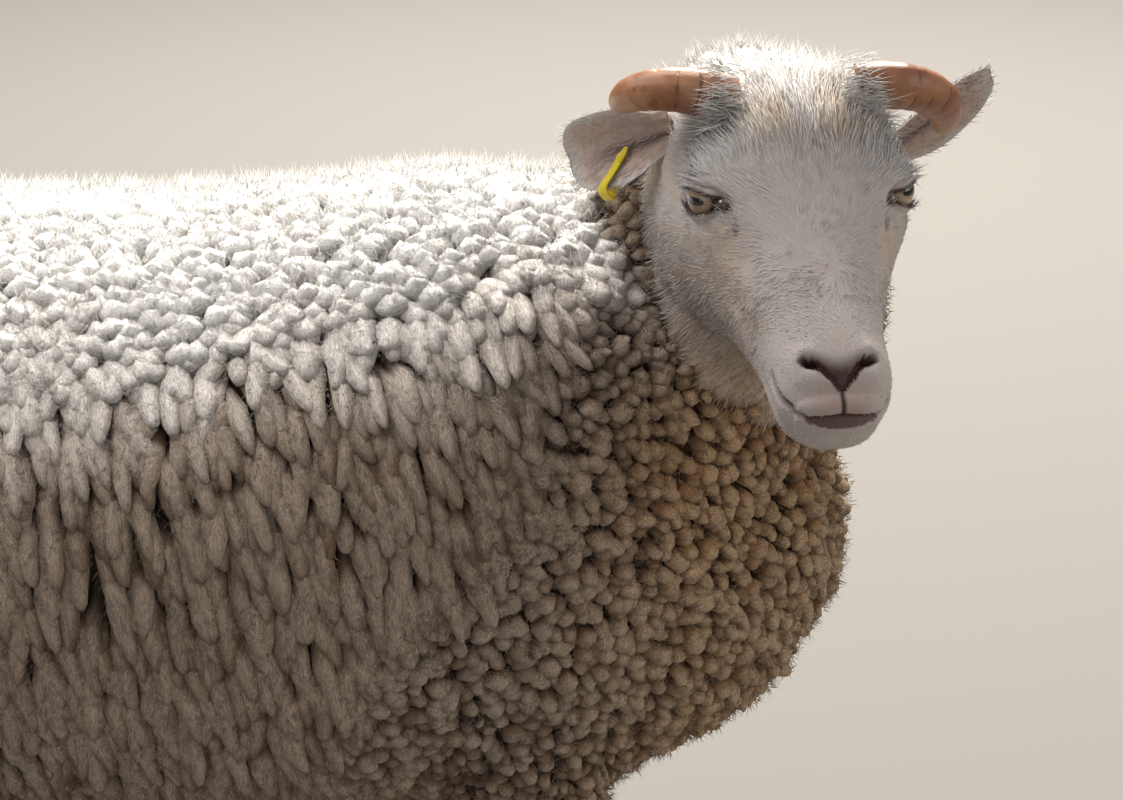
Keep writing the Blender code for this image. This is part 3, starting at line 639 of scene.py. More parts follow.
@dataclass
class HeadForm:
    """The head's skin: rounded sections along it, its swellings, nostrils, mouth and folds."""

    pose: HeadPose
    rows: tuple = (
        # along, height of the bridge, depth of the jaw, half width, how much wider the crown side is
        (-0.030, 0.034, 0.118, 0.070, -0.17),
        (0.000, 0.054, 0.124, 0.073, -0.17),
        (0.025, 0.069, 0.122, 0.073, -0.14),
        (0.050, 0.073, 0.114, 0.072, -0.07),
        (0.075, 0.067, 0.101, 0.069, 0.01),
        (0.095, 0.058, 0.087, 0.063, 0.05),
        (0.120, 0.047, 0.070, 0.0525, 0.00),
        (0.150, 0.0375, 0.0565, 0.0430, -0.10),
        (0.180, 0.0300, 0.0480, 0.0370, -0.12),
        (0.203, 0.0235, 0.0440, 0.0350, -0.10),
        (0.220, 0.0170, 0.0405, 0.0325, -0.06),
        (0.230, 0.0085, 0.0345, 0.0265, 0.00),
    )
    swells: tuple = (
        # middle (along, across, up), reach in the same order, height
        ((0.084, 0.060, 0.036), (0.020, 0.016, 0.014), 0.0060),  # brow
        ((0.098, 0.056, 0.006), (0.018, 0.016, 0.012), 0.0030),  # cheekbone
        ((0.058, 0.068, 0.018), (0.016, 0.016, 0.020), -0.0040),  # temple
        ((0.040, 0.060, -0.045), (0.030, 0.020, 0.030), 0.0040),  # corner of the jaw
        ((0.128, 0.040, 0.022), (0.020, 0.014, 0.012), -0.0030),  # hollow before the eye
        ((0.209, 0.022, 0.010), (0.010, 0.009, 0.009), 0.0030),  # wing of the nostril
        ((0.214, 0.020, -0.010), (0.012, 0.012, 0.008), 0.0030),  # upper lip
        ((0.222, 0.000, -0.040), (0.014, 0.020, 0.008), 0.0020),  # chin
        ((0.200, 0.034, -0.022), (0.020, 0.012, 0.005), -0.0020),  # corner of the mouth
        ((0.2075, 0.0190, 0.0205), (0.0060, 0.0060, 0.0040), 0.0016),  # rim over the nostril
        ((0.2200, 0.0190, 0.0100), (0.0050, 0.0050, 0.0040), 0.0020),  # rim under the nostril
        ((0.2345, 0.0105, 0.0030), (0.0060, 0.0075, 0.0040), 0.0018),  # pads beside the cleft
        ((0.2330, 0.0000, -0.0085), (0.0120, 0.0190, 0.0045), 0.0010),  # lower lip
        ((0.2330, 0.0000, -0.0165), (0.0120, 0.0190, 0.0030), -0.0012),  # hollow under the lower lip
    )
    grooves: tuple = (("philtrum", 0.0014, 0.0011), ("mouth", 0.0032, 0.0015), ("tear", 0.0017, 0.0017))
    tan_spots: tuple = (
        # middle, reach, strength
        ((0.066, 0.020, 0.066), (0.016, 0.016, 0.014), 0.75),  # before the horns
        ((0.116, 0.044, 0.015), (0.020, 0.010, 0.014), 0.55),  # below the eye
        ((0.150, 0.036, -0.005), (0.020, 0.010, 0.014), 0.35),  # side of the muzzle
        ((0.020, 0.030, 0.060), (0.030, 0.050, 0.030), 0.30),  # poll
    )
    nostril: tuple = (
        (0.2120, 0.0195, 0.0150),
        (0.2135, 0.0168, 0.0172),
        (0.2165, 0.0128, 0.0174),
        (0.2205, 0.0086, 0.0160),
        (0.2255, 0.0044, 0.0140),
        (0.2300, 0.0010, 0.0115),
    )
    philtrum: tuple = ((0.2300, 0.0, 0.0115), (0.2360, 0.0, 0.0055), (0.2398, 0.0, -0.0004))
    mouth: tuple = (
        (0.2400, 0.0000, -0.0004),
        (0.2388, 0.0075, -0.0012),
        (0.2368, 0.0150, -0.0030),
        (0.2305, 0.0220, -0.0046),
        (0.2215, 0.0280, -0.0050),
        (0.2085, 0.0330, -0.0050),
        (0.2020, 0.0350, -0.0035),
    )
    tear: tuple = (
        (0.1020, 0.0530, 0.0340),
        (0.1075, 0.0500, 0.0330),
        (0.1135, 0.0478, 0.0290),
        (0.1165, 0.0472, 0.0250),
    )
    rings: int = 216
    around: int = 176
    dome_rings: int = 24

    def __post_init__(self) -> None:
        """Lays the features' lines on the plain skin."""
        tree = point_tree(self.sections().reshape(-1, 3))
        for name in ("nostril", "philtrum", "mouth", "tear"):
            steps = np.linspace(0, len(getattr(self, name)) - 1, 24)
            laid = [tree.find(point)[0] for point in curve_rows(getattr(self, name), steps).tolist()]
            setattr(self, name, tuple(map(tuple, laid)))

    def sections(self) -> np.ndarray:
        """The grid of section points before any swelling: rows along the head, columns round it.

        A column at angle a has up = sign(cos a)*|cos a|^p times the rise or the drop, and across =
        half*sign(sin a)*|sin a|^p*(1 + upper*cos a), with p = 2/2.2 above the axis and 2/2.9 below it.
        Columns are closer over the nose. The front closes as a dome of 0.42 radii.
        """
        even = whole_turn(self.around)
        turn = even - 0.30 * np.sin(even)
        power = 2 / np.where(np.cos(turn) > 0, 2.2, 2.9)
        up, out = signed_power(np.cos(turn), power), signed_power(np.sin(turn), power)
        steps = np.linspace(0, len(self.rows) - 1, self.rings - self.dome_rings)
        along, rise, drop, half, upper = curve_rows(self.rows, steps).T[..., None]
        across = half * out * (1 + upper * np.cos(turn))
        grid = np.stack([along + 0 * up, across, np.where(up > 0, rise, drop) * up], axis=-1)
        last = grid[-1]
        middle = last.mean(0)
        radius = np.linalg.norm(last - middle, axis=-1).mean()
        lean = np.linspace(0, math.pi / 2, self.dome_rings + 1)[1:-1, None, None]
        dome = middle + (last - middle) * np.cos(lean) + np.array((0.42 * radius, 0, 0)) * np.sin(lean)
        return np.concatenate([grid, dome])

    def hair_depth(self, points: np.ndarray) -> np.ndarray:
        """Depth of the hair on the head: least on the muzzle, most on the poll and throat."""
        along, _, up = points.T
        depth = 0.0008 + 0.0016 * smoothstep(0.215, 0.17, along) + 0.0010 * smoothstep(0.12, 0.06, along)
        return depth + 0.0060 * smoothstep(0.075, 0.035, along) * smoothstep(0.02, 0.06, up)

    def features(self, places: np.ndarray) -> np.ndarray:
        """Height of the skin's features over the plain sections.

        Args:
            places: points of the head's frame, all on its left half.

        Returns:
            Heights: the sum of round humps, and of grooves depth*exp(-(distance/width)^2).
        """
        lift = np.zeros(len(places))
        for centre, reach, height in self.swells:
            lift += height * bell(places, centre, reach)
        slit, share = line_distance(places, self.nostril), line_share(places, self.nostril)
        lift -= (0.0060 - 0.0048 * share) * fade(slit, 0.0023 - 0.0010 * share)
        lift -= 0.0050 * bell(places, self.nostril[4], (0.0042, 0.0036, 0.0030))
        for name, depth, width in self.grooves:
            lift -= depth * fade(line_distance(places, getattr(self, name)), width)
        return lift + 0.0005 * lattice_noise(places, 0.009, 3) * smoothstep(0.20, 0.15, places[:, 0])

    def surface(self) -> Surface:
        """The head's skin in the head's frame, narrowed and set over to its right towards the nose."""
        plain = closed_form(self.sections())
        self.plain_points = plain.points
        lift = self.features(mirrored(plain.points)) - self.hair_depth(plain.points)
        moved = plain.points + plain.normals() * lift[:, None]
        front = smoothstep(0.11, 0.225, moved[:, 0])
        moved[:, 1] = moved[:, 1] * (1 - 0.035 * front) - 0.0034 * front
        return Surface(moved, plain.quads, plain.tris)

    def bare_skin(self, points: np.ndarray) -> tuple[np.ndarray, np.ndarray]:
        """Dark and pink bare skin at points of the head's frame.

        Returns:
            The dark of nostrils, nose leather, cleft, lips and tear groove; the pink of pads and lower lip.
        """
        places = mirrored(points)
        along, across, up = places.T
        ragged = 0.0009 * lattice_noise(points, 0.0026, 13)
        share = line_share(places, self.nostril)
        off_slit = line_distance(places, self.nostril) + ragged
        slit = smoothstep(0.0046 - 0.0022 * share, 0.0020 - 0.0008 * share, off_slit)
        floor_across = (0.0, 0.0044, 0.0086, 0.0128, 0.0168)
        over_floor = up - np.interp(across, floor_across, (0.0108, 0.0140, 0.0160, 0.0174, 0.0172))
        over_top = up - (0.0188 + 0.08 * across + 2.2 * ragged)
        leather = smoothstep(-0.0014, 0.0006, over_floor + ragged)
        leather = leather * smoothstep(0.0034, -0.0030, over_top + 2 * ragged)
        leather = 0.93 * leather * smoothstep(0.0175, 0.0125, across) * smoothstep(0.205, 0.214, along)
        seam = fade(line_distance(places, self.philtrum), 0.0017)
        lip = fade(line_distance(places, self.mouth), 0.0012)
        mouth = np.array(self.mouth)
        over_mouth = up - np.interp(across, mouth[:, 1], mouth[:, 2])
        fall = 0.0080 * np.clip(1 - (across / 0.0245) ** 2, 0, 1) ** 1.1
        below = smoothstep(0.0006, -0.0006, over_mouth)
        below = below * smoothstep(-0.0012, 0.0004, over_mouth + fall + 0.5 * ragged)
        under = 0.76 * below * smoothstep(0.205, 0.215, along) * (fall > 0)
        tear = 0.85 * fade(line_distance(places, self.tear), 0.0016)
        dark = np.clip(1.1 * np.maximum.reduce([slit, leather, seam, lip, under, tear]) - 0.06, 0, 1)
        pad = 0.62 * smoothstep(0.0010, -0.0010, over_floor) * smoothstep(-0.0004, 0.0012, over_mouth)
        off_pad = np.hypot((across - 0.0070) / 0.0120, (up - 0.0040) / 0.0110)
        pink = 0.92 * pad * smoothstep(1.45, 0.05, off_pad + 60 * ragged) * smoothstep(0.215, 0.225, along)
        return dark, np.clip(np.maximum(pink, 0.9 * under), 0, 1)

    def marks(self, points: np.ndarray) -> dict[str, np.ndarray]:
        """The markings at points of the head's frame, each from 0 to 1."""
        places = mirrored(points)
        along, across, up = places.T
        dark, pink = self.bare_skin(points)
        tan = 0.14 * smoothstep(0.01, -0.055, up) * smoothstep(0.19, 0.13, along)
        cheek = smoothstep(0.026, 0.052, across) * smoothstep(0.20, 0.15, along)
        tan += 0.18 * cheek * smoothstep(0.03, 0.0, up)
        for centre, reach, strength in self.tan_spots:
            tan += strength * bell(places, centre, reach)
        tan *= 0.80 + 0.6 * lattice_noise(points, 0.014, 11)
        return {Mark.DARK.value: dark, Mark.PINK.value: pink, Mark.TAN.value: np.clip(tan, 0, 1)}


@dataclass
class EyeSocket:
    """Lids and folds round one eye, as a fine grid from the lids' edge out to the skin of the face."""

    head: HeadForm
    side: float
    centre: tuple = (0.0841, 0.0533, 0.0237)
    gaze: tuple = (0.46, 0.88, 0.10)
    radius: float = 0.0135
    medial: tuple = (0.041, -0.022, 0.022)  # the long way of the opening, towards the nose
    reach_medial: float = 0.0190
    reach_lateral: float = 0.0152
    upper: float = 0.0072
    lower: float = 0.0066
    outer_middle: float = 0.004  # the oval where the lids meet the face
    outer_long: float = 0.0290
    outer_tall: float = 0.0185
    blend: float = 0.0010
    columns: int = 120
    rows: int = 30

    def frame(self) -> tuple[np.ndarray, np.ndarray]:
        """The eye's centre, and rows for its long way, its upward way and its way out."""
        flip = np.array((1.0, self.side, 1.0))
        out = unit(np.array(self.gaze) * flip)
        long = tangent(np.array(self.medial) * flip, out)
        rise = np.cross(out, long)
        rise = rise if rise[2] > 0 else -rise
        return np.array(self.centre) * flip, np.stack([long, rise, out])

    def opening(self, turn: np.ndarray) -> np.ndarray:
        """The edge of the lids in the eye's plane: an almond, blunt at the side, drawn out to the nose."""
        cosine, sine = np.cos(turn), np.sin(turn)
        x = np.where(cosine > 0, self.reach_medial, self.reach_lateral) * cosine
        narrow = np.where(cosine > 0, 1 - 0.72 * np.maximum(cosine, 0) ** 1.3, 1 - 0.25 * cosine**2)
        y = np.where(sine > 0, self.upper, self.lower) * signed_power(sine, 0.85) * np.abs(narrow)
        return np.stack([x, y], axis=-1)

    def skin_height(self, flat: np.ndarray, tree: BVHTree) -> np.ndarray:
        """Height of the plain face over the eye's plane, found along the eye's way out."""
        centre, axes = self.frame()
        above, usual = 0.06, 0.045
        starts = centre + flat @ axes[:2] + axes[2] * above
        way = (-axes[2]).tolist()
        reach = [tree.ray_cast(start, way)[3] for start in starts.tolist()]
        return above - np.array([usual if found is None else found for found in reach])

    def sunk(self, surface: Surface) -> Surface:
        """The face with an oval hollow, 14 mm deep, where the lids and the eyeball go."""
        centre, axes = self.frame()
        local = (surface.points - centre) @ axes.T
        oval = np.hypot((local[:, 0] - self.outer_middle) / 0.0275, local[:, 1] / 0.0175)
        push = 0.014 * smoothstep(0.92, 0.62, oval) * (np.abs(local[:, 2]) < 0.035)
        return replace(surface, points=surface.points - axes[2] * push[:, None])

    def ball_height(self, flat: np.ndarray, over: float) -> np.ndarray:
        """Height over the eye's plane of a ball that stands over the eyeball: sqrt(r^2 - x^2 - y^2)."""
        return np.sqrt(np.maximum((self.radius + over) ** 2 - (flat**2).sum(-1), 0.0))

    def lid_height(
        self, flat: np.ndarray, face: np.ndarray, share: np.ndarray, turn: np.ndarray
    ) -> np.ndarray:
        """Height of the lids over the eye's plane.

        It is the larger, softly, of a ball's height just over the eyeball and of the face's height less a
        sink that fades outwards. A crease and a fold follow the upper lid, and a low bag the lower lid.

        Args:
            flat: places in the eye's plane.
            face: the face's height there.
            share: how far each row is from the edge to the face.
            turn: angle of each column.

        Returns:
            The heights.
        """
        sink = 0.0040 * smoothstep(0.75, 0.0, share)
        ball = self.ball_height(flat, 0.0024)
        lid = np.logaddexp(ball / self.blend, (face - sink) / self.blend) * self.blend
        height = lid + (face - 0.0002 - lid) * smoothstep(0.45, 1.0, share)
        above = np.clip(np.sin(turn), 0, 1) ** 0.5
        crease = 0.0016 * fade(share - 0.36, 0.07) * above
        fold = 0.0010 * fade(share - 0.55, 0.12) * above
        bag = 0.0006 * fade(share - 0.45, 0.10) * np.clip(-np.sin(turn), 0, 1)
        return height - crease + fold + bag

    def marks(self, points: np.ndarray, local: np.ndarray, share: np.ndarray, turn: np.ndarray) -> dict:
        """The face's marks, with the lids' dark rims, widened on the upper lid by painted shade under the
        lashes, the dark inner corner and pink folds added.
        """
        above = np.clip(np.sin(turn), 0, 1) ** 0.5
        # The upper rim's extra width is painted shade under the lashes.
        rim = smoothstep(0.13 + 0.15 * above, 0.05 + 0.07 * above, share)
        corner = fade(local[..., 0] - 0.0200, 0.0050) * smoothstep(0.5, 0.2, share)
        pink = 0.30 * fade(share - 0.36, 0.07) * above + 0.55 * smoothstep(0.22, 0.10, share)
        found = self.head.marks(points)
        dark = np.maximum.reduce([found[Mark.DARK.value], rim.ravel(), corner.ravel()])
        found[Mark.DARK.value] = np.clip(dark, 0, 1)
        found[Mark.PINK.value] = np.clip(np.maximum(found[Mark.PINK.value], pink.ravel()), 0, 1)
        return found

    def surface(self, tree: BVHTree) -> Surface:
        """The lids: rows run from inside the edge, over it, and out to the face.

        Args:
            tree: search tree of the plain face.

        Returns:
            The lids with their marks.
        """
        centre, axes = self.frame()
        turn = whole_turn(self.columns)
        edge = self.opening(turn)
        oval = (self.outer_middle + self.outer_long * np.cos(turn), self.outer_tall * np.sin(turn))
        outer = np.stack(oval, axis=-1)
        share = np.linspace(0, 1, self.rows - 3)[:, None]
        spread = share[..., None] ** 1.25
        flat = edge * (1 - spread) + outer * spread + 0.0011 * unit(edge) * (1 - spread)
        face = self.skin_height(flat.reshape(-1, 2), tree).reshape(flat.shape[:2])
        height = self.lid_height(flat, face, share, turn)
        rim = np.maximum(self.ball_height(edge, 0.0003), np.minimum(height[0] - 0.0012, face[0] - 0.0030))
        inner = [
            raised(edge * 1.06, rim - 0.0050),
            raised(edge, rim - 0.0002),
            raised(edge + 0.0005 * unit(edge), (rim + height[0]) / 2 + 0.0003),
        ]
        local = np.concatenate([np.stack(inner), raised(flat, height)])
        made = grid_surface((centre + local.reshape(-1, 3) @ axes).reshape(local.shape))
        if made.normals()[-1] @ axes[2] < 0:
            made = Surface(made.points, made.quads[:, ::-1])
        shares = np.concatenate([np.full((len(inner), 1), -0.05), share]) + 0 * turn
        made.marks = self.marks(made.points, local, shares, turn)
        return made


# ---------------------------------------------------------------- ears, eyes, horns, legs and hooves
@dataclass(frozen=True)
class EarPose:
    """Where an ear grows (head's frame) and the ways it points and faces (frame of the solids)."""

    root: tuple
    way: tuple
    face: tuple


@dataclass
class EarForm:
    """One ear: a cupped leaf, thin at the rim, with low ridges along its inside."""

    head: HeadPose
    side: str
    poses: dict = field(
        default_factory=lambda: {
            "left": EarPose((0.012, 0.071, -0.008), (0.80, 0.34, 0.48), (0.34, -0.74, -0.30)),
            "right": EarPose((0.017, -0.069, 0.015), (-0.62, 0.58, -0.35), (-0.66, -0.74, -0.04)),
        }
    )
    length: float = 0.081
    half_width: float = 0.0230
    thickness: float = 0.0042
    ridge: float = 0.0007
    start: float = -0.12
    cup: float = 0.013

    def frame(self) -> tuple[np.ndarray, np.ndarray]:
        """The root, and rows for the way along the ear, across it and out of its face."""
        pose = self.poses[self.side]
        root = self.head.to_world(np.array(pose.root))
        way = unit(np.array(pose.way))
        face = tangent(np.array(pose.face), way)
        across = np.cross(face, way) * SIDES[self.side]
        return root, np.stack([way, across if across[2] > 0 else -across, face])

    def width(self, along: np.ndarray) -> np.ndarray:
        """Width at a share of the length, as a share of the most: rising, then rounded off to the tip."""
        rise = 0.56 + 0.44 * np.sin(np.pi / 2 * np.minimum(np.maximum(along, 0) / 0.45, 1))
        blunt, broad = (4.0, 1.02) if self.side == "right" else (2.4, 0.84)
        return broad * rise * np.sqrt(np.maximum(1 - 0.95 * np.maximum((along - 0.45) / 0.55, 0) ** blunt, 0))

    def place(self, along: np.ndarray, across: np.ndarray, proud: np.ndarray) -> np.ndarray:
        """Points of the leaf: along 0 to 1, across -1 to 1, proud metres out of its middle surface."""
        root, (way, sideways, face) = self.frame()
        half = self.half_width * self.width(along)
        opened = np.minimum(1, 0.15 + 3.5 * (along - self.start))
        cup = self.cup * self.width(along) * (1 - 0.5 * along) * opened
        lean = np.arctan2(2 * cup * across, half)
        out = face * np.cos(lean)[..., None] - sideways * np.sin(lean)[..., None]
        return (
            root
            + way * self.length * along[..., None]
            + sideways * (half * across)[..., None]
            + face * (cup * across**2)[..., None]
            + out * np.asarray(proud)[..., None]
        )

    def surface(self) -> Surface:
        """The leaf's skin: an oval section round each place along it, thin at the rims and the tip."""
        turn = whole_turn(56)
        inside = np.sin(turn) > 0
        along, across = np.broadcast_arrays(np.linspace(self.start, 0.985, 60)[:, None], 0.975 * np.cos(turn))
        ridge = np.cos(across * 9.5) * smoothstep(0.85, 0.55, np.abs(across)) * smoothstep(0.9, 0.6, along)
        thick = (self.thickness / 2 - self.ridge) * (1 - 0.35 * smoothstep(0.5, 1.0, along))
        proud = thick * signed_power(np.sin(turn), 0.7) + self.ridge * ridge * inside
        made = closed_form(self.place(along, across, proud))
        hollow = inside * smoothstep(0.93, 0.72, np.abs(across)) * smoothstep(0.94, 0.78, along)
        hollow = with_ends(hollow)
        # The dark along the fold is a painted shadow, and the faint dark over the hollow is painted shade.
        fold = with_ends(fade(across + 0.12, 0.22) * smoothstep(0.85, 0.35, along)) * hollow
        made.marks = {
            Mark.PINK.value: hollow * 0.42,
            Mark.DARK.value: np.clip(fold * 0.85 + hollow * 0.03, 0, 1),
            Mark.TAN.value: hollow * 0.3,
            "hollow": hollow,
        }
        return made


@dataclass
class TagForm:
    """A plain strap tag: two tongues folded round the ear's lower edge, held by a pin with round bosses."""

    ear: EarForm
    along: float = 0.62
    slant: float = 0.30
    width: float = 0.0080
    thickness: float = 0.0013
    gap: float = 0.0009  # between the strap and the ear
    inner_end: float = -0.10
    overhang: float = 0.0055
    run: int = 18  # rows on each tongue
    pin: float = 0.30  # the pin's place, as a share of a tongue
    boss: tuple = (
        # radius, height over the strap
        (0.0001, 0.0012),
        (0.0019, 0.0012),
        (0.0027, 0.0009),
        (0.0030, 0.0004),
        (0.0030, -0.0002),
        (0.0016, -0.0006),
    )

    def middle(
        self, share: np.ndarray, across: np.ndarray, proud: np.ndarray, beyond: np.ndarray
    ) -> np.ndarray:
        """Points of the strap's middle surface.

        Args:
            share: share of the strap's width.
            across: place across the ear.
            proud: distance out of the ear's middle surface.
            beyond: distance past the ear's edge.

        Returns:
            The points.
        """
        along = self.along - self.slant * (across + 1) + share * self.width / self.ear.length
        _, axes = self.ear.frame()
        return self.ear.place(along, across, proud) - axes[1] * beyond[..., None]

    def strap(self, clear: float) -> Surface:
        """A rounded rectangle carried up one side of the ear, round its edge and down the other."""
        run = np.linspace(self.inner_end, -1.0, self.run)
        flat = np.ones(self.run)
        turns = np.radians(np.linspace(0, 180, 19)[1:-1])
        across = np.concatenate([run, -np.ones(len(turns)), run[::-1]])
        proud = clear * np.concatenate([flat, np.cos(turns), -flat])
        beyond = np.concatenate([0 * flat, self.overhang * (0.35 + 0.65 * np.sin(turns)), 0 * flat])
        beyond[self.run - 1] = beyond[self.run + len(turns)] = self.overhang * 0.2
        around = whole_turn(20)
        share = 0.5 * signed_power(np.cos(around), 0.35) * 0.99
        off = self.thickness / 2 * signed_power(np.sin(around), 0.5)
        from_end = np.minimum(np.arange(len(across)), np.arange(len(across))[::-1])
        narrow = np.sqrt(np.clip((from_end + 0.35) / 4.0, 0, 1))[:, None]
        grid = np.broadcast_arrays(share * narrow, across[:, None], proud[:, None], beyond[:, None])
        middle = self.middle(*grid)
        widthways = self.middle(grid[0] * 0 + 0.5, *grid[1:]) - self.middle(grid[0] * 0 - 0.5, *grid[1:])
        lengthways = np.gradient(middle.mean(1), axis=0)[:, None]
        outward = unit(np.cross(widthways, lengthways + 0 * widthways))
        return closed_form(middle + outward * off[None, :, None])

    def surface(self) -> Surface:
        """The strap, and the pin through the ear with a round boss at either end."""
        clear = self.ear.thickness / 2 + self.gap + self.thickness / 2
        place = self.inner_end + (-1.0 - self.inner_end) * self.pin
        ends = self.middle(np.zeros(2), np.full(2, place), np.array((clear, -clear)), np.zeros(2))
        axis = unit(ends[0] - ends[1])
        side = tangent(AHEAD, axis)
        spin = whole_turn(28)[:, None]
        circle = np.cos(spin) * side + np.sin(spin) * np.cross(axis, side)
        radii, heights = np.array(self.boss).T
        heights = heights + np.linalg.norm(ends[0] - ends[1]) / 2
        radii = np.concatenate([radii, radii[::-1]])
        heights = np.concatenate([heights, -heights[::-1]])
        rings = ends.mean(0) + axis * heights[:, None, None] + circle * radii[:, None, None]
        return self.strap(clear).joined([closed_form(rings)])


@dataclass
class EyeForm:
    """An eyeball with a bulging cornea, and the small soft lump at its inner corner."""

    socket: EyeSocket
    radius: float = 0.0133
    iris: float = 0.0099
    bulge: float = 0.0008
    ways: dict = field(default_factory=lambda: {1.0: (0.61, 0.61, 0.44), -1.0: (0.54, -0.77, 0.28)})
    lump_middle: tuple = (0.0144, -0.0003, 0.0034)
    lump_reach: tuple = (0.0066, 0.0040, 0.0038)

    def frame(self) -> tuple[np.ndarray, np.ndarray]:
        """The centre, and rows for the ways across the iris, upward and out of the eye."""
        flip = np.array((1.0, self.socket.side, 1.0))
        out = unit(np.array(self.ways[self.socket.side]))
        forward = unit(np.cross(self.socket.head.pose.axes() @ UP, out))
        rise = np.cross(out, forward)
        return np.array(self.socket.centre) * flip, np.stack([forward, rise if rise[2] > 0 else -rise, out])

    def surface(self) -> Surface:
        """Ball and lump. The cornea adds bulge*(1 - (r/R)^2)^1.5, R being 1.05 times the iris's radius."""
        centre, axes = self.frame()
        lean = np.concatenate([np.linspace(0.002, 0.66, 54), np.linspace(0.70, math.pi - 0.05, 34)])[:, None]
        dome = np.clip(1 - (self.radius * np.sin(lean) / (self.iris * 1.05)) ** 2, 0, 1) ** 1.5
        reach = self.radius + self.bulge * dome * (lean < 1.2)
        local = ball_points(lean, whole_turn(112)) * reach[..., None]
        ball = closed_form(centre + local @ axes)
        disc = np.concatenate([local.reshape(-1, 3), [UP, -UP]])
        ball.marks = {"disc": disc * (1 / self.iris), "lump": np.zeros(len(ball.points))}
        centre, axes = self.socket.frame()
        lump = ball_points(np.linspace(0.02, math.pi - 0.02, 26)[:, None], whole_turn(36))
        lump = lump * self.lump_reach + self.lump_middle
        lump = lump + 0.0003 * lattice_noise(lump, 0.0025, 5)[..., None]
        corner = closed_form(centre + lump @ axes)
        corner.marks = {"disc": np.full((len(corner.points), 3), 9.0), "lump": np.ones(len(corner.points))}
        return ball.joined([corner])


@dataclass(frozen=True)
class HornBend:
    """How one horn runs: its length, the radius of its bend, and how it is turned."""

    arc: float
    bend: float
    rise: float
    tilt: float  # degrees above level at the root
    droop: float  # degrees below level of the way that it bends to


@dataclass
class HornForm:
    """One short horn: an oval section swept round an arc, ringed by uneven growth ridges."""

    head: HeadPose
    side: str
    bends: dict = field(
        default_factory=lambda: {
            "left": HornBend(0.086, 0.050, 0.003, 2.0, 72.0),
            "right": HornBend(0.080, 0.046, 0.001, 18.0, 60.0),
        }
    )
    root: tuple = (0.034, 0.051, 0.057)
    buried: float = 0.012
    start_radius: float = 0.0158
    flatness: float = 0.88
    ridge_apart: float = 0.0105

    def surface(self) -> Surface:
        """Rings along the arc, rippled: radius = start*(1 - 0.28s)*sqrt(1 - s^4), s from base to tip."""
        side, way = SIDES[self.side], self.bends[self.side]
        tilt, droop = math.radians(way.tilt), math.radians(way.droop)
        sideways = np.array((0.0, side * math.cos(tilt), math.sin(tilt)))
        back = np.array((-math.cos(droop), 0.0, -math.sin(droop)))
        tip = 1 - 0.1 * np.linspace(1, 0.04, 16)[1:] ** 2
        share = np.concatenate([np.linspace(-self.buried / way.arc, 0.9, 72), tip])
        angle = (share * way.arc / way.bend)[:, None]
        root = np.array(self.root) * (1, side, 1) + UP * way.rise
        middle = root + way.bend * (np.sin(angle) * sideways + (1 - np.cos(angle)) * back)
        across = unit(np.cross(sideways, back))
        inward = np.cross(unit(np.gradient(middle, axis=0)), across)
        turn = whole_turn(64)
        radius = self.start_radius * (1 - 0.28 * share) * np.sqrt(np.maximum(1 - share**4, 0.0015))
        wander = 0.22 * lattice_noise(share[:, None] * LEFT, 0.16, 21)
        ridge = np.sin(2 * math.pi * (share + 0.05 * wander) * way.arc / self.ridge_apart)
        ridge = signed_power(ridge, 0.7) * smoothstep(1.0, 0.5, share)
        flute = lattice_noise(np.stack([6 * np.cos(turn), 6 * np.sin(turn), 0 * turn], axis=-1), 1.3, 8)
        size = radius[:, None] * (1 + 0.009 * ridge[:, None] + 0.016 * flute[None, :]) - 0.0002
        rings = (
            middle[:, None]
            + across * (size * self.flatness * np.cos(turn))[..., None]
            + inward[:, None] * (size * np.sin(turn))[..., None]
        )
        made = closed_form(self.head.to_world(rings))
        made.marks = {
            "share": with_ends(np.repeat(share, len(turn)), share[0], 1.0),
            "band": with_ends(np.repeat(ridge, len(turn))),
            "deep": np.full(len(made.points), 0.5 + 0.5 * side),
        }
        return made


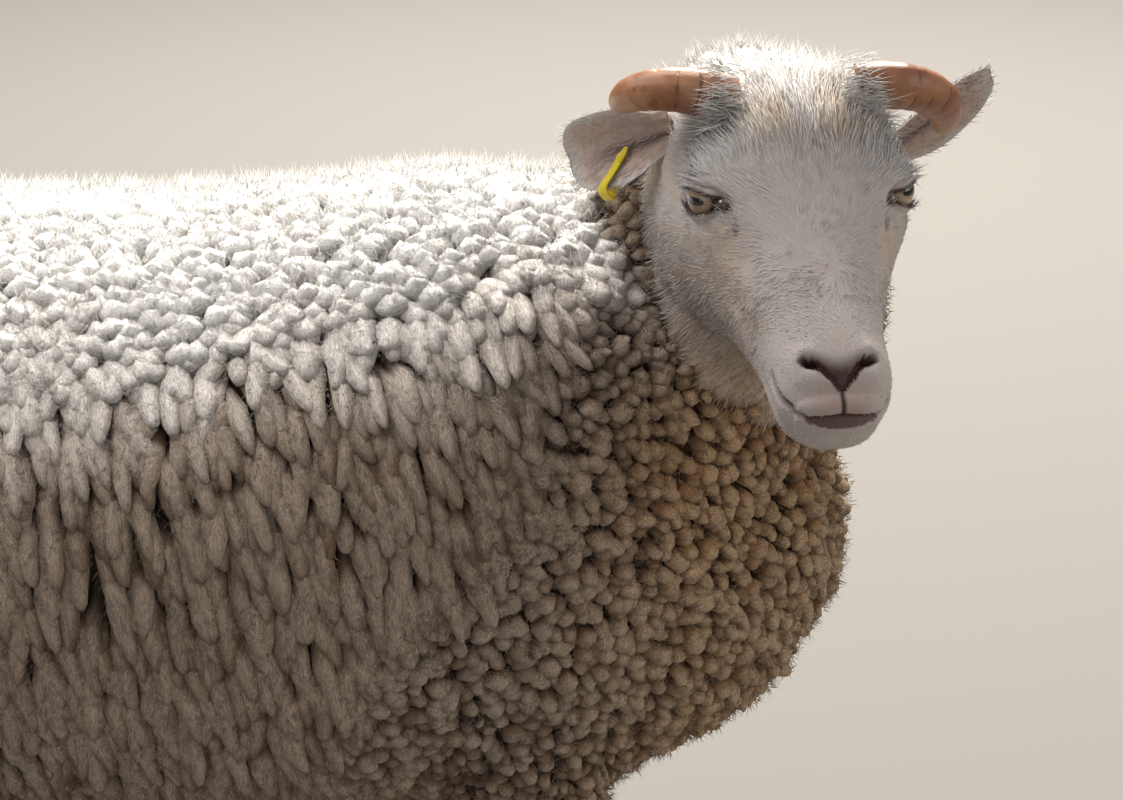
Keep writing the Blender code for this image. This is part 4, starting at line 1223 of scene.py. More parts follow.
@dataclass
class LegForm:
    """The short-haired part of a leg, its dewclaws and its two claws."""

    side: float
    rows: tuple
    inset: float = 0.0022
    squareness: float = 2.1
    coronet: float = 0.038
    slope: float = math.radians(24)
    hoof_length: float = 0.060
    hoof_width: float = 0.0215
    spread: float = 0.0120
    lead: float = 0.012
    lean: float = 0.62
    heights: tuple = (0.0, 0.0035, 0.024, 0.060)
    sizes: tuple = (0.93, 1.0, 0.93, 0.80)  # of the claw at those heights
    sole_levels: tuple = (0.0, 0.0004, 0.0012, 0.0022)
    bevel: float = 0.0035  # height of the worn edge round the sole
    ring_apart: float = 0.0052
    pointed: float = 0.42

    def foot(self) -> np.ndarray:
        """Middle of the foot, straight under the pastern."""
        return np.array((self.rows[-2][0], self.side * self.rows[-2][1], 0.0)) + SPINE_SHIFT

    def shin(self) -> Surface:
        """Oval sections down the leg, with a groove before the tendons behind the cannon bone."""
        table = curve_rows(self.rows, np.linspace(0, len(self.rows) - 1, 120))
        table[:, 1] *= self.side
        middles = table[:, :3]
        ways = unit(np.gradient(middles, axis=0))
        sideways = unit(np.cross(ways, AHEAD))
        ahead = np.cross(sideways, ways)
        turn = whole_turn(64)
        groove = fade(np.abs(turn - math.pi) - 0.95, 0.26)
        cannon = smoothstep(0.19, 0.16, middles[:, 2]) * smoothstep(0.085, 0.11, middles[:, 2])
        size = 1 - 0.14 * cannon[:, None] * groove
        deep = (table[:, 3:4] - self.inset) * signed_power(np.cos(turn), 2 / self.squareness) * size
        wide = (table[:, 4:5] - self.inset) * signed_power(np.sin(turn), 2 / self.squareness) * size
        rings = middles[:, None] + ahead[:, None] * deep[..., None] + sideways[:, None] * wide[..., None]
        return closed_form(rings + SPINE_SHIFT)

    def dewclaws(self) -> Surface:
        """Two blunt horny buttons behind the fetlock, each a row of shrinking rings."""
        fetlock = self.rows[5]
        front = fetlock[0] - 0.93 * fetlock[3] + SPINE_SHIFT[0] + 0.006
        turn = whole_turn(20)
        share = np.linspace(0, 1, 14)[:, None]
        size = np.sqrt(np.maximum(1 - share**3.2, 0.01))
        found = []
        for way in (-1.0, 1.0):
            back = front - share * 0.0165 + 0 * turn
            across = self.foot()[1] + way * 0.0095 + np.sin(turn) * 0.0060 * size
            rise = 0.080 - share * 0.010 + np.cos(turn) * 0.0082 * size
            found.append(closed_form(np.stack([back, across, rise], axis=-1)))
        made = found[0].joined(found[1:])
        made.marks = {"height": made.points[:, 2].copy()}
        return made

    def wall(self, turn: np.ndarray, size: np.ndarray, height: np.ndarray, way: float) -> tuple:
        """The claw's outline at a height, pointed at the toe and flat inside: how far ahead, and across."""
        half = self.hoof_length / 2
        along = np.cos(turn) * half * size
        point = np.where(along > 0, 1 - self.pointed * (along / half) ** 2, 1.0)
        across = np.sin(turn) * self.hoof_width / 2 * size * point
        across = np.maximum(across * way, -self.hoof_width * 0.40) * way
        return self.lead + along - height * self.lean * (0.5 + along / self.hoof_length), across

    def claw(self, way: float) -> Surface:
        """One claw: flat sole, sloping toe wall with growth rings, straight inner wall, cut at the coronet.

        The cut slopes, so the height of a ring is found in six passes from how far ahead each point lies.

        Args:
            way: the side of the foot that it is on.

        Returns:
            The claw, with its height above the sole as a mark.
        """
        turn = whole_turn(72)
        rings = []
        for level in self.sole_levels:
            height = np.full(len(turn), level)
            size = np.interp(height, self.heights, self.sizes) - 0.03 * (1 - level / self.bevel) ** 2
            rings.append((*self.wall(turn, size, height, way), height))
        for level in np.linspace(self.bevel, 1.0, 44):
            share = (level - self.bevel) / (1 - self.bevel)
            height = np.zeros(len(turn))
            for _ in range(6):
                ripple = np.sin(height * 2 * math.pi / self.ring_apart) * smoothstep(0.004, 0.010, height)
                size = np.interp(height, self.heights, self.sizes) * (1 + 0.010 * ripple)
                ahead, across = self.wall(turn, size, height, way)
                cut = self.coronet + ahead * np.tan(self.slope) - 0.0004
                height = self.bevel + (np.maximum(cut, 0.006) - self.bevel) * share
            rings.append((ahead, across, height))
        ahead, across, height = np.moveaxis(np.array(rings), 1, 0)
        foot = self.foot()
        made = closed_form(np.stack([foot[0] + ahead, foot[1] + way * self.spread + across, height], axis=-1))
        made.marks = {"height": made.points[:, 2].copy()}
        return made


# ---------------------------------------------------------------- the unwrap used by the coat's map
class Patch(Enum):
    """Rectangles of the OFBake map: left, bottom, width, height."""

    TRUNK = (0.00, 0.00, 0.70, 0.55)
    NECK = (0.70, 0.00, 0.30, 0.55)
    HEAD = (0.00, 0.56, 0.50, 0.44)
    FORELEG_LEFT = (0.51, 0.56, 0.11, 0.21)
    FORELEG_RIGHT = (0.63, 0.56, 0.11, 0.21)
    HINDLEG_LEFT = (0.75, 0.56, 0.11, 0.21)
    HINDLEG_RIGHT = (0.87, 0.56, 0.11, 0.21)
    EAR_LEFT = (0.51, 0.78, 0.15, 0.20)
    EAR_RIGHT = (0.67, 0.78, 0.15, 0.20)
    TAIL = (0.84, 0.78, 0.15, 0.20)

    def spread(self, first: np.ndarray, second: np.ndarray) -> np.ndarray:
        """Two shares from 0 to 1 as places in the rectangle."""
        left, bottom, width, height = self.value
        edge = 0.004
        u = left + edge + np.clip(first, 0, 1) * (width - 2 * edge)
        return np.stack([u, bottom + edge + np.clip(second, 0, 1) * (height - 2 * edge)], axis=-1)


@dataclass
class Unwrap:
    """Places on the OFBake map for points of the skin, from the skin's own shape.

    Trunk and tail are unrolled round level lines along the spine, the neck and the head round their own axes,
    the legs round upright lines, the ears by length and width.
    """

    pose: HeadPose

    @staticmethod
    def turn(across: np.ndarray, up: np.ndarray) -> np.ndarray:
        """Share of a turn round an axis, 0 straight below it."""
        return (np.arctan2(across, -up) / (2 * math.pi)) % 1.0

    def body(self, points: np.ndarray) -> np.ndarray:
        """Places for points of the trunk, neck, tail and upper legs."""
        x, y, z = (points - SPINE_SHIFT).T
        found = Patch.TRUNK.spread((x + 0.47) / 0.84, self.turn(y, z - 0.44))
        neck = (x > 0.285) & (z > 0.50)
        along_neck = (x - 0.30) * 0.55 + (z - 0.56) * 0.83
        round_neck = self.turn(y, (z - 0.56) - (x - 0.31))
        found[neck] = Patch.NECK.spread((along_neck[neck] + 0.12) / 0.28, round_neck[neck])
        tail = x < -0.452
        found[tail] = Patch.TAIL.spread((0.61 - z[tail]) / 0.26, self.turn(y, x + 0.47)[tail])
        for name, side in SIDES.items():
            beside = (z < 0.30) & (np.abs(y - side * 0.095) < 0.075) & (np.abs(y) > 0.03)
            for leg, middle in (("FORELEG", 0.205), ("HINDLEG", -0.345)):
                on_leg = beside & (np.abs(x - middle) < 0.12)
                turned = self.turn(y - side * 0.092, x - middle)
                up = 0.42 + 0.58 * (z[on_leg] - 0.2) / 0.10
                found[on_leg] = Patch[f"{leg}_{name.upper()}"].spread(up, turned[on_leg])
        return found

    def leg(self, points: np.ndarray, side: float) -> np.ndarray:
        """Places for points of a leg's short-haired part."""
        x, y, z = (points - SPINE_SHIFT).T
        found = np.zeros((len(points), 2))
        name = "LEFT" if side > 0 else "RIGHT"
        for leg, chosen, middle in (("FORELEG", x > 0, 0.216), ("HINDLEG", x <= 0, -0.372)):
            turned = self.turn(y - side * 0.087, x - middle)
            found[chosen] = Patch[f"{leg}_{name}"].spread(0.41 * z[chosen] / 0.26, turned[chosen])
        return found

    def head(self, points: np.ndarray) -> np.ndarray:
        """Places for points of the head, given in the frame of the solids."""
        along, across, up = self.pose.to_head(points).T
        return Patch.HEAD.spread((along + 0.04) / 0.285, self.turn(across, up + 0.015))

    def ear(self, side: str, along: np.ndarray, across: np.ndarray, inside: np.ndarray) -> np.ndarray:
        """Places for points of an ear: its inside on one half of the rectangle, its back on the other."""
        patch = Patch[f"EAR_{side.upper()}"]
        return patch.spread((along + 0.12) / 1.12, 0.25 + 0.23 * across + 0.5 * (1 - inside))


# ---------------------------------------------------------------- locks and hairs
@dataclass
class Strands:
    """Many tapering strands of one pattern, each a tube round a bent line.

    Every array has one row for each strand. A strand's line runs root + out*reach*t^power + lie*length*t +
    bend*t^2 + shift*step(t). Its section at share t has the given radius across, and flatness*radius along
    its normal. The tone is the height over the root, from 0 in the depth of the coat to 1 on its surface.
    """

    roots: Roots
    out: np.ndarray
    lie: np.ndarray
    reach: np.ndarray
    length: np.ndarray
    radius: np.ndarray
    bend: np.ndarray | None = None
    shift: np.ndarray | None = None
    tone: np.ndarray | None = None
    shape: tuple | np.ndarray = (1.0, 0.8)  # for all, or one row for each strand
    steps: tuple = ()  # shares at which the shape holds, evenly spread if there are none
    rise_power: float = 0.6
    sides: int = 3
    flatness: float | np.ndarray = 1.0
    lumps: float | np.ndarray = 0.0
    lump_sizes: tuple = (0.0065, 0.0032)
    twist: float = 0.3
    patch: float = 0.003
    seed: int = 1

    def line(self, share: np.ndarray) -> np.ndarray:
        """Points of every strand's line at shares from 0 to 1: a row for each strand, or one for all."""
        share = np.asarray(share)[..., None]
        found = (
            self.roots.points[:, None]
            + self.out[:, None] * self.reach[:, None, None] * share**self.rise_power
            + self.lie[:, None] * self.length[:, None, None] * share
        )
        if self.bend is not None:
            found = found + self.bend[:, None] * share**2
        if self.shift is not None:
            found = found + self.shift[:, None] * smoothstep(0.0, 0.6, share)
        return found

    def profile(self, share: np.ndarray) -> np.ndarray:
        """Size of each strand's section, in units of its radius, at one share for each."""
        steps, row = np.array(self.steps[:-1]), np.arange(len(share))
        after = np.clip(np.searchsorted(steps, share), 1, len(steps) - 1)
        part = np.clip((share - steps[after - 1]) / (steps[after] - steps[after - 1]), 0, 1)
        return self.shape[row, after - 1] * (1 - part) + self.shape[row, after] * part

    def tubes(self, share: np.ndarray) -> np.ndarray:
        """Every strand's points: those round its line at each share but the last, then its tip."""
        line = self.line(share[None])
        way = unit(np.gradient(line, axis=1))
        across = unit(np.cross(way, self.out[:, None] + 0.05 * self.lie[:, None]))
        normal = np.cross(across, way)[:, :-1, None]
        turn = (whole_turn(self.sides) + self.twist)[:, None]
        flat = np.reshape(self.flatness, (-1, 1, 1, 1))
        round_way = across[:, :-1, None] * np.cos(turn) + normal * np.sin(turn) * flat
        radius = self.radius[:, None, None] * np.array(self.shape).reshape(-1, len(share) - 1, 1)
        tube = line[:, :-1, None] + round_way * radius[..., None]
        if np.any(self.lumps):
            coarse, fine = (
                lattice_noise(tube, size, self.seed + k) for k, size in enumerate(self.lump_sizes)
            )
            lump = (coarse * 0.60 + fine * 0.40) * np.reshape(self.lumps, (-1, 1, 1))
            tube = tube + round_way * (lump * radius)[..., None]
        return np.concatenate([tube.reshape(len(line), -1, 3), line[:, -1:]], axis=1)

    def marks(self, points: np.ndarray, share: np.ndarray) -> dict[str, np.ndarray]:
        """Values at the strands' points.

        Args:
            points: the points, one row for each strand.
            share: shares at which the rings lie.

        Returns:
            tone, chance (one draw for each strand), strand (turn, share, draw), grain (the coat's way out
            at the root) and the marks of the roots.
        """
        count, size = points.shape[:2]
        draw = np.random.default_rng(self.seed).random(count)
        crest = self.roots.marks.get("depth", self.reach + self.radius)[:, None]
        height = ((points - self.roots.points[:, None]) * self.out[:, None]).sum(-1) / (crest + 0.0015)
        along = np.append(np.repeat(share[:-1], self.sides), 1.0)
        turn = (whole_turn(self.sides) + self.twist) / (2 * math.pi)
        turn = np.append(np.tile(turn, len(share) - 1), 0.5)
        found = {
            "tone": np.clip(height, 0, 1).ravel() if self.tone is None else np.repeat(self.tone, size),
            "chance": np.repeat(draw, size),
            "strand": np.stack(np.broadcast_arrays(turn, along, draw[:, None]), axis=-1).reshape(-1, 3),
            "grain": np.repeat(self.roots.normals, size, axis=0),
        }
        return found | {name: np.repeat(values, size) for name, values in self.roots.marks.items()}

    def surface(self) -> Surface:
        """The strands as tubes closed by a tip point."""
        rings = np.shape(self.shape)[-1]
        share = np.array(self.steps) if self.steps else np.linspace(0, 1, rings + 1)
        points = self.tubes(share)
        count, size = points.shape[:2]
        here = np.arange(size - 1).reshape(rings, self.sides)
        after = np.roll(here, -1, 1)
        quads = np.stack([here[:-1], after[:-1], after[1:], here[1:]], axis=-1).reshape(-1, 4)
        cap = np.stack([here[-1], after[-1], np.full(self.sides, size - 1)], axis=-1)
        starts = (np.arange(count) * size)[:, None, None]
        return Surface(
            points.reshape(-1, 3),
            (quads + starts).reshape(-1, 4),
            (cap + starts).reshape(-1, 3),
            self.marks(points, share),
        )

    def baked(self, places: np.ndarray) -> np.ndarray:
        """Places on the OFBake map: each strand is a small patch at its root's place.

        Args:
            places: one place for each strand.

        Returns:
            One place for each point of the surface.
        """
        rings = np.shape(self.shape)[-1]
        along = np.append(np.repeat(np.linspace(0, 0.85, rings), self.sides), 1.0) - 0.5
        turned = np.append(np.tile(np.linspace(0, 1, self.sides), rings), 0.5) - 0.5
        spread = self.patch * np.stack([turned, along], axis=-1)
        return np.clip((places[:, None] + spread[None]).reshape(-1, 2), 0.0, 1.0)

    def picked(self, keep: np.ndarray) -> Strands:
        """Only some of the strands."""
        kept = {name: value[keep] for name, value in vars(self).items() if isinstance(value, np.ndarray)}
        return replace(self, roots=self.roots.picked(keep), **kept)

    def make(
        self,
        name: str,
        finish: bpy.types.Material,
        places: np.ndarray,
        most: int = 185000,
    ) -> list[bpy.types.Object]:
        """Puts the strands into the scene, dealt out from tail to head into pieces of limited size.

        Args:
            name: start of the pieces' names.
            finish: their material.
            places: each root's place on the OFBake map.
            most: most triangles in a piece.

        Returns:
            The pieces.
        """
        each = 2 * self.sides * (np.shape(self.shape)[-1] - 1) + self.sides
        parts = max(1, math.ceil(len(self.roots) * each / most))
        order = np.argsort(self.roots.points[:, 0], kind="stable")
        made = []
        for k, keep in enumerate(np.array_split(order, parts)):
            chosen = replace(self.picked(keep), seed=self.seed + k)
            made.append(make_piece(f"{name}_{k + 1}", chosen.surface(), finish, chosen.baked(places[keep])))
        return made


# ---------------------------------------------------------------- the coat
@dataclass(frozen=True)
class Zones:
    """Shares of each kind of fleece at some places, from 0 to 1."""

    back: np.ndarray  # fluffy
    # pale: near white where the fleece faces up, mostly painted light from above
    pale: np.ndarray  # nearly white
    knob: np.ndarray  # short blunt curls
    cord: np.ndarray  # long locks matted into upright ridges
    # glow: rusty tinge of throat and chest, partly warm wool and partly painted glow of light through it
    glow: np.ndarray  # rusty tinge of throat and chest
    fine: np.ndarray  # thin short wool of legs, tail and the throat's border

    def mixed(self, values: Sequence[float]) -> np.ndarray:
        """Values for cord, knob and back, added up by their shares."""
        return sum(value * share for value, share in zip(values, (self.cord, self.knob, self.back)))


@dataclass
class Fleece:
    """Locks of wool over trunk, neck, tail and upper legs, with fine loose fibres over them."""

    form: BodyForm
    pose: HeadPose
    unwrap: Unwrap
    tips: Surface
    lock_width: float = 0.0125
    slant: float = 0.20
    sag: float = 0.0130  # how far a long lock's line sinks back below its crest
    buried: float = 0.002
    lengths: tuple = (0.056, 0.0090, 0.018)  # of cord, knob and back
    radii: tuple = (0.0062, 0.0060, 0.0084)
    steps: tuple = (0, 0.50, 0.74, 0.90, 0.972, 1.0)
    long_profile: tuple = (0.78, 1.22, 1.04, 0.72, 0.36)
    blunt_profile: tuple = (0.80, 1.34, 1.06, 0.76, 0.40)
    back_profile: tuple = (0.10, -0.10, 0.16, 0.32, 0.40)  # added along the back
    loin: float = -0.25  # where the rump's arc has its middle
    rump_radius: float = 0.19

    def __post_init__(self) -> None:
        """Keeps the surface's normals and a search tree of its points."""
        self.normals = self.tips.normals()
        self.finder = point_tree(self.tips.points)

    def zones(self, roots: Roots) -> Zones:
        """Shares of each kind of fleece at the roots."""
        x, _, z = (roots.points - SPINE_SHIFT).T
        up = roots.normals[:, 2]
        wander = lattice_noise(roots.points, 0.07, 31)
        back = smoothstep(0.74, 0.94, up + 0.10 * wander) * smoothstep(0.50, 0.56, z)
        # Near white where the fleece faces up: mostly painted light from above.
        pale = smoothstep(0.55, 0.97, up + 0.12 * wander) * smoothstep(0.48, 0.56, z)
        fore = smoothstep(0.155, 0.245, x + 0.05 * wander + 0.10 * smoothstep(0.52, 0.34, z))
        low = smoothstep(0.36, 0.28, z + 0.03 * wander)
        knob = np.maximum(fore, low) * (1 - back)
        # Rusty glow of chest, throat and low flanks: partly warm wool, partly painted glow of light through it.
        chest = smoothstep(0.20, 0.33, x + 0.02 * wander) * smoothstep(0.60, 0.50, z)
        under = bell(self.pose.to_head(roots.points), (0.10, -0.01, -0.150), (0.09, 0.09, 0.05))
        glow = np.clip(0.80 * chest + 1.0 * under + 0.30 * low, 0, 1)
        fine = smoothstep(0.017, 0.010, roots.marks["depth"])
        return Zones(back, pale, knob, (1 - back) * (1 - knob), glow, fine)

    def ridge_offset(self, roots: Roots) -> tuple[np.ndarray, np.ndarray]:
        """How far, and which way, each root lies from the middle of the nearest upright ridge.

        Ridges are a lock's width apart, lean forward as they go down, and wander. Round the rump they follow
        an arc about a point in the loin.
        """
        x, y, z = (roots.points - SPINE_SHIFT).T
        behind = x < self.loin
        angle = np.arctan2(np.abs(y), -(x - self.loin))
        level = np.where(behind, self.loin - self.rump_radius * (math.pi / 2 - angle), x)
        stretched = roots.points * (1.0, 1.0, 0.45)
        wander = 0.011 * lattice_noise(stretched, 0.055, 41) + 0.004 * lattice_noise(stretched, 0.021, 42)
        place = level - self.slant * (0.45 - z) + wander
        offset = np.round(place / self.lock_width) * self.lock_width - place
        round_rump = np.stack([-np.sin(angle), -np.cos(angle) * np.sign(y), 0 * y], axis=-1)
        return offset[:, None], tangent(np.where(behind[:, None], round_rump, AHEAD), roots.normals)

    def normals_at(self, points: np.ndarray) -> np.ndarray:
        """Normals of the nearest points of the coat's surface."""
        return self.normals[[self.finder.find(point)[1] for point in points.tolist()]]

    def spacing(self, points: np.ndarray, marks: dict[str, np.ndarray]) -> np.ndarray:
        """Least distance between locks: widest among the matted ridges, closest on the throat and legs."""
        depth = self.form.depth(points, self.pose)
        cord = self.zones(Roots(points, self.normals_at(points), {"depth": depth})).cord
        apart = 0.0056 + 0.0014 * smoothstep(0.007, 0.013, depth) + 0.0012 * smoothstep(0.6, 0.95, cord)
        apart = apart - 0.0060 * cord * (1 - cord) * smoothstep(0.010, 0.014, depth)
        return np.where(short_haired(points, self.pose) < 0.70, apart, 0.0)

    def locks(self) -> Strands:
        """The locks: root on the skin, tip at the coat's surface, the long ones lying along their ridge."""
        roots = scatter(self.tips, self.spacing, 7)
        zones = self.zones(roots)
        back, knob, cord = zones.back, zones.knob, zones.cord
        count = len(roots)
        random = np.random.default_rng(17)
        depth = roots.marks["depth"]
        side = np.sign(roots.points[:, 1] - SPINE_SHIFT[1])
        forward = self.slant + 0.12 * random.normal(size=count)
        down = np.stack([forward, side * back * 0.8, -np.ones(count)], axis=-1)
        stray = (back + 0.5 * knob)[:, None] * random.normal(0, 0.6, (count, 3))
        length = zones.mixed(self.lengths) * (1 - 0.5 * zones.fine) * random.uniform(0.65, 1.35, count)
        uneven = 0.0020 * lattice_noise(roots.points, 0.030, 33) + random.normal(0, 0.0009, count)
        sag = self.sag * cord * depth / self.form.wool_depth
        reach = depth + uneven * (1 - 0.9 * back - 0.7 * cord) + 0.0010 - 0.0050 * cord + sag
        radius = zones.mixed(self.radii) * (1 - 0.30 * zones.fine)
        blunt = (knob + back)[:, None]
        profile = np.array(self.long_profile) * (1 - blunt) + blunt * self.blunt_profile
        profile = profile + back[:, None] * self.back_profile
        offset, ahead = self.ridge_offset(roots)
        # back carries the near white of the up-facing fleece, mostly painted light; glow carries the painted
        # glow of light through the wool.
        marks = {"back": zones.pale, "glow": zones.glow, "ridge": cord, "fluff": back, "loose": 0 * back}
        marks["depth"] = depth + self.buried
        return Strands(
            Roots(roots.points - roots.normals * marks["depth"][:, None], roots.normals, roots.marks | marks),
            roots.normals,
            tangent(down + stray, roots.normals),
            reach,
            length,
            radius * (1 + (0.06 + 0.18 * knob) * random.uniform(-1, 1, count)),
            shift=ahead * offset * (0.97 * cord + 0.25 * knob)[:, None],
            shape=profile * (1 + (0.12 - 0.05 * cord[:, None]) * random.uniform(-1, 1, profile.shape)),
            flatness=0.92 - 0.34 * knob * random.random(count),
            bend=random.normal(0, 0.0018, (count, 3)) - roots.normals * sag[:, None],
            steps=self.steps,
            rise_power=0.62,
            sides=5,
            lumps=0.38 - 0.30 * zones.pale + 0.12 * knob * (1 - zones.pale),
            seed=51,
        )

    def fibres(self, locks: Strands) -> Strands:
        """Fine loose fibres lying over the locks and standing off them, upright and longest along the back.

        Args:
            locks: the locks, over whose outer sides the fibres start.

        Returns:
            The fibres.
        """
        random = np.random.default_rng(23)
        per_lock = random.poisson(15.2 + 13.0 * locks.roots.marks["fluff"])
        chosen = locks.picked(np.repeat(np.arange(len(locks.roots)), per_lock))
        count, marks = len(chosen.roots), chosen.roots.marks
        ridge, back = marks["ridge"], marks["fluff"]
        share = 0.55 - 0.13 * ridge + (0.45 - 0.09 * ridge) * random.random(count)
        start = chosen.line(share[:, None])[:, 0]
        along = unit(chosen.line(share[:, None] + 0.01)[:, 0] - start)
        across = unit(np.cross(along, chosen.out))
        turn = random.uniform(0.0, 2 * math.pi, count)
        turn = np.where(ridge > 0.5, 0.5 * turn, turn)[:, None]
        off = across * np.cos(turn) + np.cross(across, along) * np.sin(turn)
        side = off * (chosen.radius * chosen.profile(share))[:, None]
        normal = unit(off + along * smoothstep(0.75, 1.0, share)[:, None] * 1.5)
        curl = tangent(random.normal(0, 1, (count, 3)) + along * (0.3 + 1.6 * ridge[:, None]), normal)
        stand = normal * random.uniform(0.30, 1.40, (count, 1)) + chosen.out * back[:, None] * 0.8
        length = random.uniform(0.0035, 0.0080, count) * (1 + 0.9 * back)
        height = ((start + side - chosen.roots.points) * chosen.out).sum(-1) / marks["depth"]
        return Strands(
            Roots(start + side * 1.16, chosen.out, marks | {"loose": np.ones(count)}),
            unit(curl + stand),
            across,
            length,
            0.15 * length,
            tone=np.clip(height + random.uniform(-0.05, 0.36, count), 0, 1),
            radius=(0.00030 - 0.00008 * back) * random.uniform(0.7, 1.3, count),
            shape=(1.0,),
            rise_power=1.0,
            seed=61,
        )

    def make(self, finish: bpy.types.Material) -> list[bpy.types.Object]:
        """Puts locks and fibres into the scene."""
        locks = self.locks()
        fibres = self.fibres(locks)
        made = locks.make("fleece_locks", finish, self.unwrap.body(locks.roots.points))
        return made + fibres.make("fleece_fibres", finish, self.unwrap.body(fibres.roots.points))


@dataclass
class Hair:
    """Short hair of head, ears and lower legs: flat on the face, long and loose on the poll."""

    head: HeadForm
    sockets: Sequence[EyeSocket]
    unwrap: Unwrap
    whorl: tuple = (0.150, 0.0, 0.035)
    tufts: tuple = (
        # side, hairs by the ear, hairs round the horn, middle of their ring, how long they are
        (1.0, 250, 820, (0.034, 0.036, 0.060), 0.85),
        (-1.0, 340, 760, (0.034, -0.040, 0.056), 1.15),
    )

    def face_way(self, points: np.ndarray, normals: np.ndarray) -> np.ndarray:
        """The lie of the hair at points of the head's frame.

        It fans away from the whorl up the forehead and out over the cheeks; along the muzzle it runs back and
        outwards; under the jaw it runs back.
        """
        fan = points - np.array(self.whorl)
        outward = np.sign(points[:, 1:2]) * LEFT
        muzzle = np.array((-0.75, 0.0, -0.35)) + 0.65 * outward * smoothstep(0, 0.01, np.abs(points[:, 1:2]))
        swirl = 1.1 * fade(np.linalg.norm(fan, axis=-1, keepdims=True), 0.022)
        fan = fan + np.cross(fan, normals) * swirl + np.array((-0.004, 0.0, 0.004))
        blend = smoothstep(0.185, 0.158, points[:, 0])[:, None]
        cheek = smoothstep(0.0, -0.05, points[:, 2])[:, None]
        way = unit(fan) * blend + muzzle * (1 - blend)
        way = way * (1 - cheek) + (np.array((-0.35, 0.0, -0.80)) + 0.40 * outward) * cheek
        stray = np.stack([lattice_noise(points, 0.012, seed) for seed in (71, 72, 73)], axis=-1)
        return tangent(way + 0.45 * stray, normals)

    def inside_lids(self, local: np.ndarray) -> np.ndarray:
        """How deep inside the lids' edge a point of the head's frame lies, from 0 to 1."""
        found = np.zeros(len(local))
        for socket in self.sockets:
            centre, axes = socket.frame()
            flat = (local - centre) @ axes.T
            oval = np.hypot((flat[:, 0] - 0.0026) / 0.0172, flat[:, 1] / 0.0078)
            found = np.maximum(found, smoothstep(1.10, 0.98, oval) * (np.abs(flat[:, 2] - 0.010) < 0.020))
        return found

    def face_spacing(self, points: np.ndarray, marks: dict[str, np.ndarray]) -> np.ndarray:
        """Least distance between hairs: closest on the face, none on lips, nose leather and lids."""
        local = self.head.pose.to_head(points)
        apart = 0.00150 + 0.0007 * smoothstep(-0.03, -0.08, local[:, 2])
        bare = (marks[Mark.DARK.value] > 0.16) | (marks[Mark.PINK.value] > 0.42)
        bare = bare | (self.inside_lids(local) > 0.5)
        behind = (local[:, 0] < -0.012) & (local[:, 2] > -0.03)
        return np.where(bare | behind, 0.0, apart)

    def on_face(self, skin: Surface) -> Strands:
        """Hair of the face, poll and cheeks."""
        roots = scatter(skin, self.face_spacing, 5)
        local = self.head.pose.to_head(roots.points)
        axes = self.head.pose.axes()
        count = len(roots)
        random = np.random.default_rng(29)
        along, _, up = local.T
        poll = smoothstep(0.115, 0.030, along) * smoothstep(0.005, 0.045, up)
        cheek = smoothstep(0.01, -0.06, up) * smoothstep(0.16, 0.08, along)
        brow = smoothstep(0.17, 0.11, along) * smoothstep(0.0, 0.03, up)
        length = 0.0070 - 0.0038 * smoothstep(0.15, 0.22, along)
        length = length + 0.0035 * brow + 0.0100 * poll + 0.0065 * cheek
        length = length * random.uniform(0.7, 1.3, count)
        lift = 0.0005 + 0.0075 * poll**1.5 + 0.0026 * cheek
        # glow: warm tinge low on the cheeks, painted glow of light.
        marks = roots.marks | {"back": poll, "glow": 0.4 * cheek * smoothstep(-0.05, -0.10, up)}
        return Strands(
            Roots(roots.points - roots.normals * 0.0004, roots.normals, marks),
            roots.normals,
            self.face_way(local, roots.normals @ axes.T) @ axes,
            lift * random.uniform(0.5, 1.6, count),
            length,
            0.00033 * random.uniform(0.8, 1.2, count),
            bend=random.normal(0, 1, (count, 3)) * (0.0005 + 0.0026 * poll)[:, None],
            seed=31,
        )

    def on_throat(self, skin: Surface) -> Strands:
        """Hair of the throat and the jaw's corners, rusty towards the fleece: tan hair with painted glow of
        light.
        """
        roots = scatter(skin, lambda points, marks: np.where(marks["short"] > 0.25, 0.0024, 0.0), 6)
        local = self.head.pose.to_head(roots.points)
        count = len(roots)
        random = np.random.default_rng(31)
        outward = 0.55 * np.sign(local[:, 1:2]) * LEFT
        lie = np.array((-0.25, 0.0, -0.95)) + outward + random.normal(0, 0.14, (count, 3))
        low = smoothstep(0.10, 0.155, throat_depth(local))
        # glow: painted glow of light towards the fleece's border.
        roots.marks = {Mark.TAN.value: 0.18 + 0.25 * low, "glow": 0.75 * low, "back": 0 * low}
        return Strands(
            roots,
            roots.normals,
            tangent(lie @ self.head.pose.axes(), roots.normals),
            0.0035 + 0.002 * random.random(count),
            random.uniform(0.007, 0.012, count),
            np.full(count, 0.00042),
            bend=random.normal(0, 0.0012, (count, 3)),
            seed=32,
        )

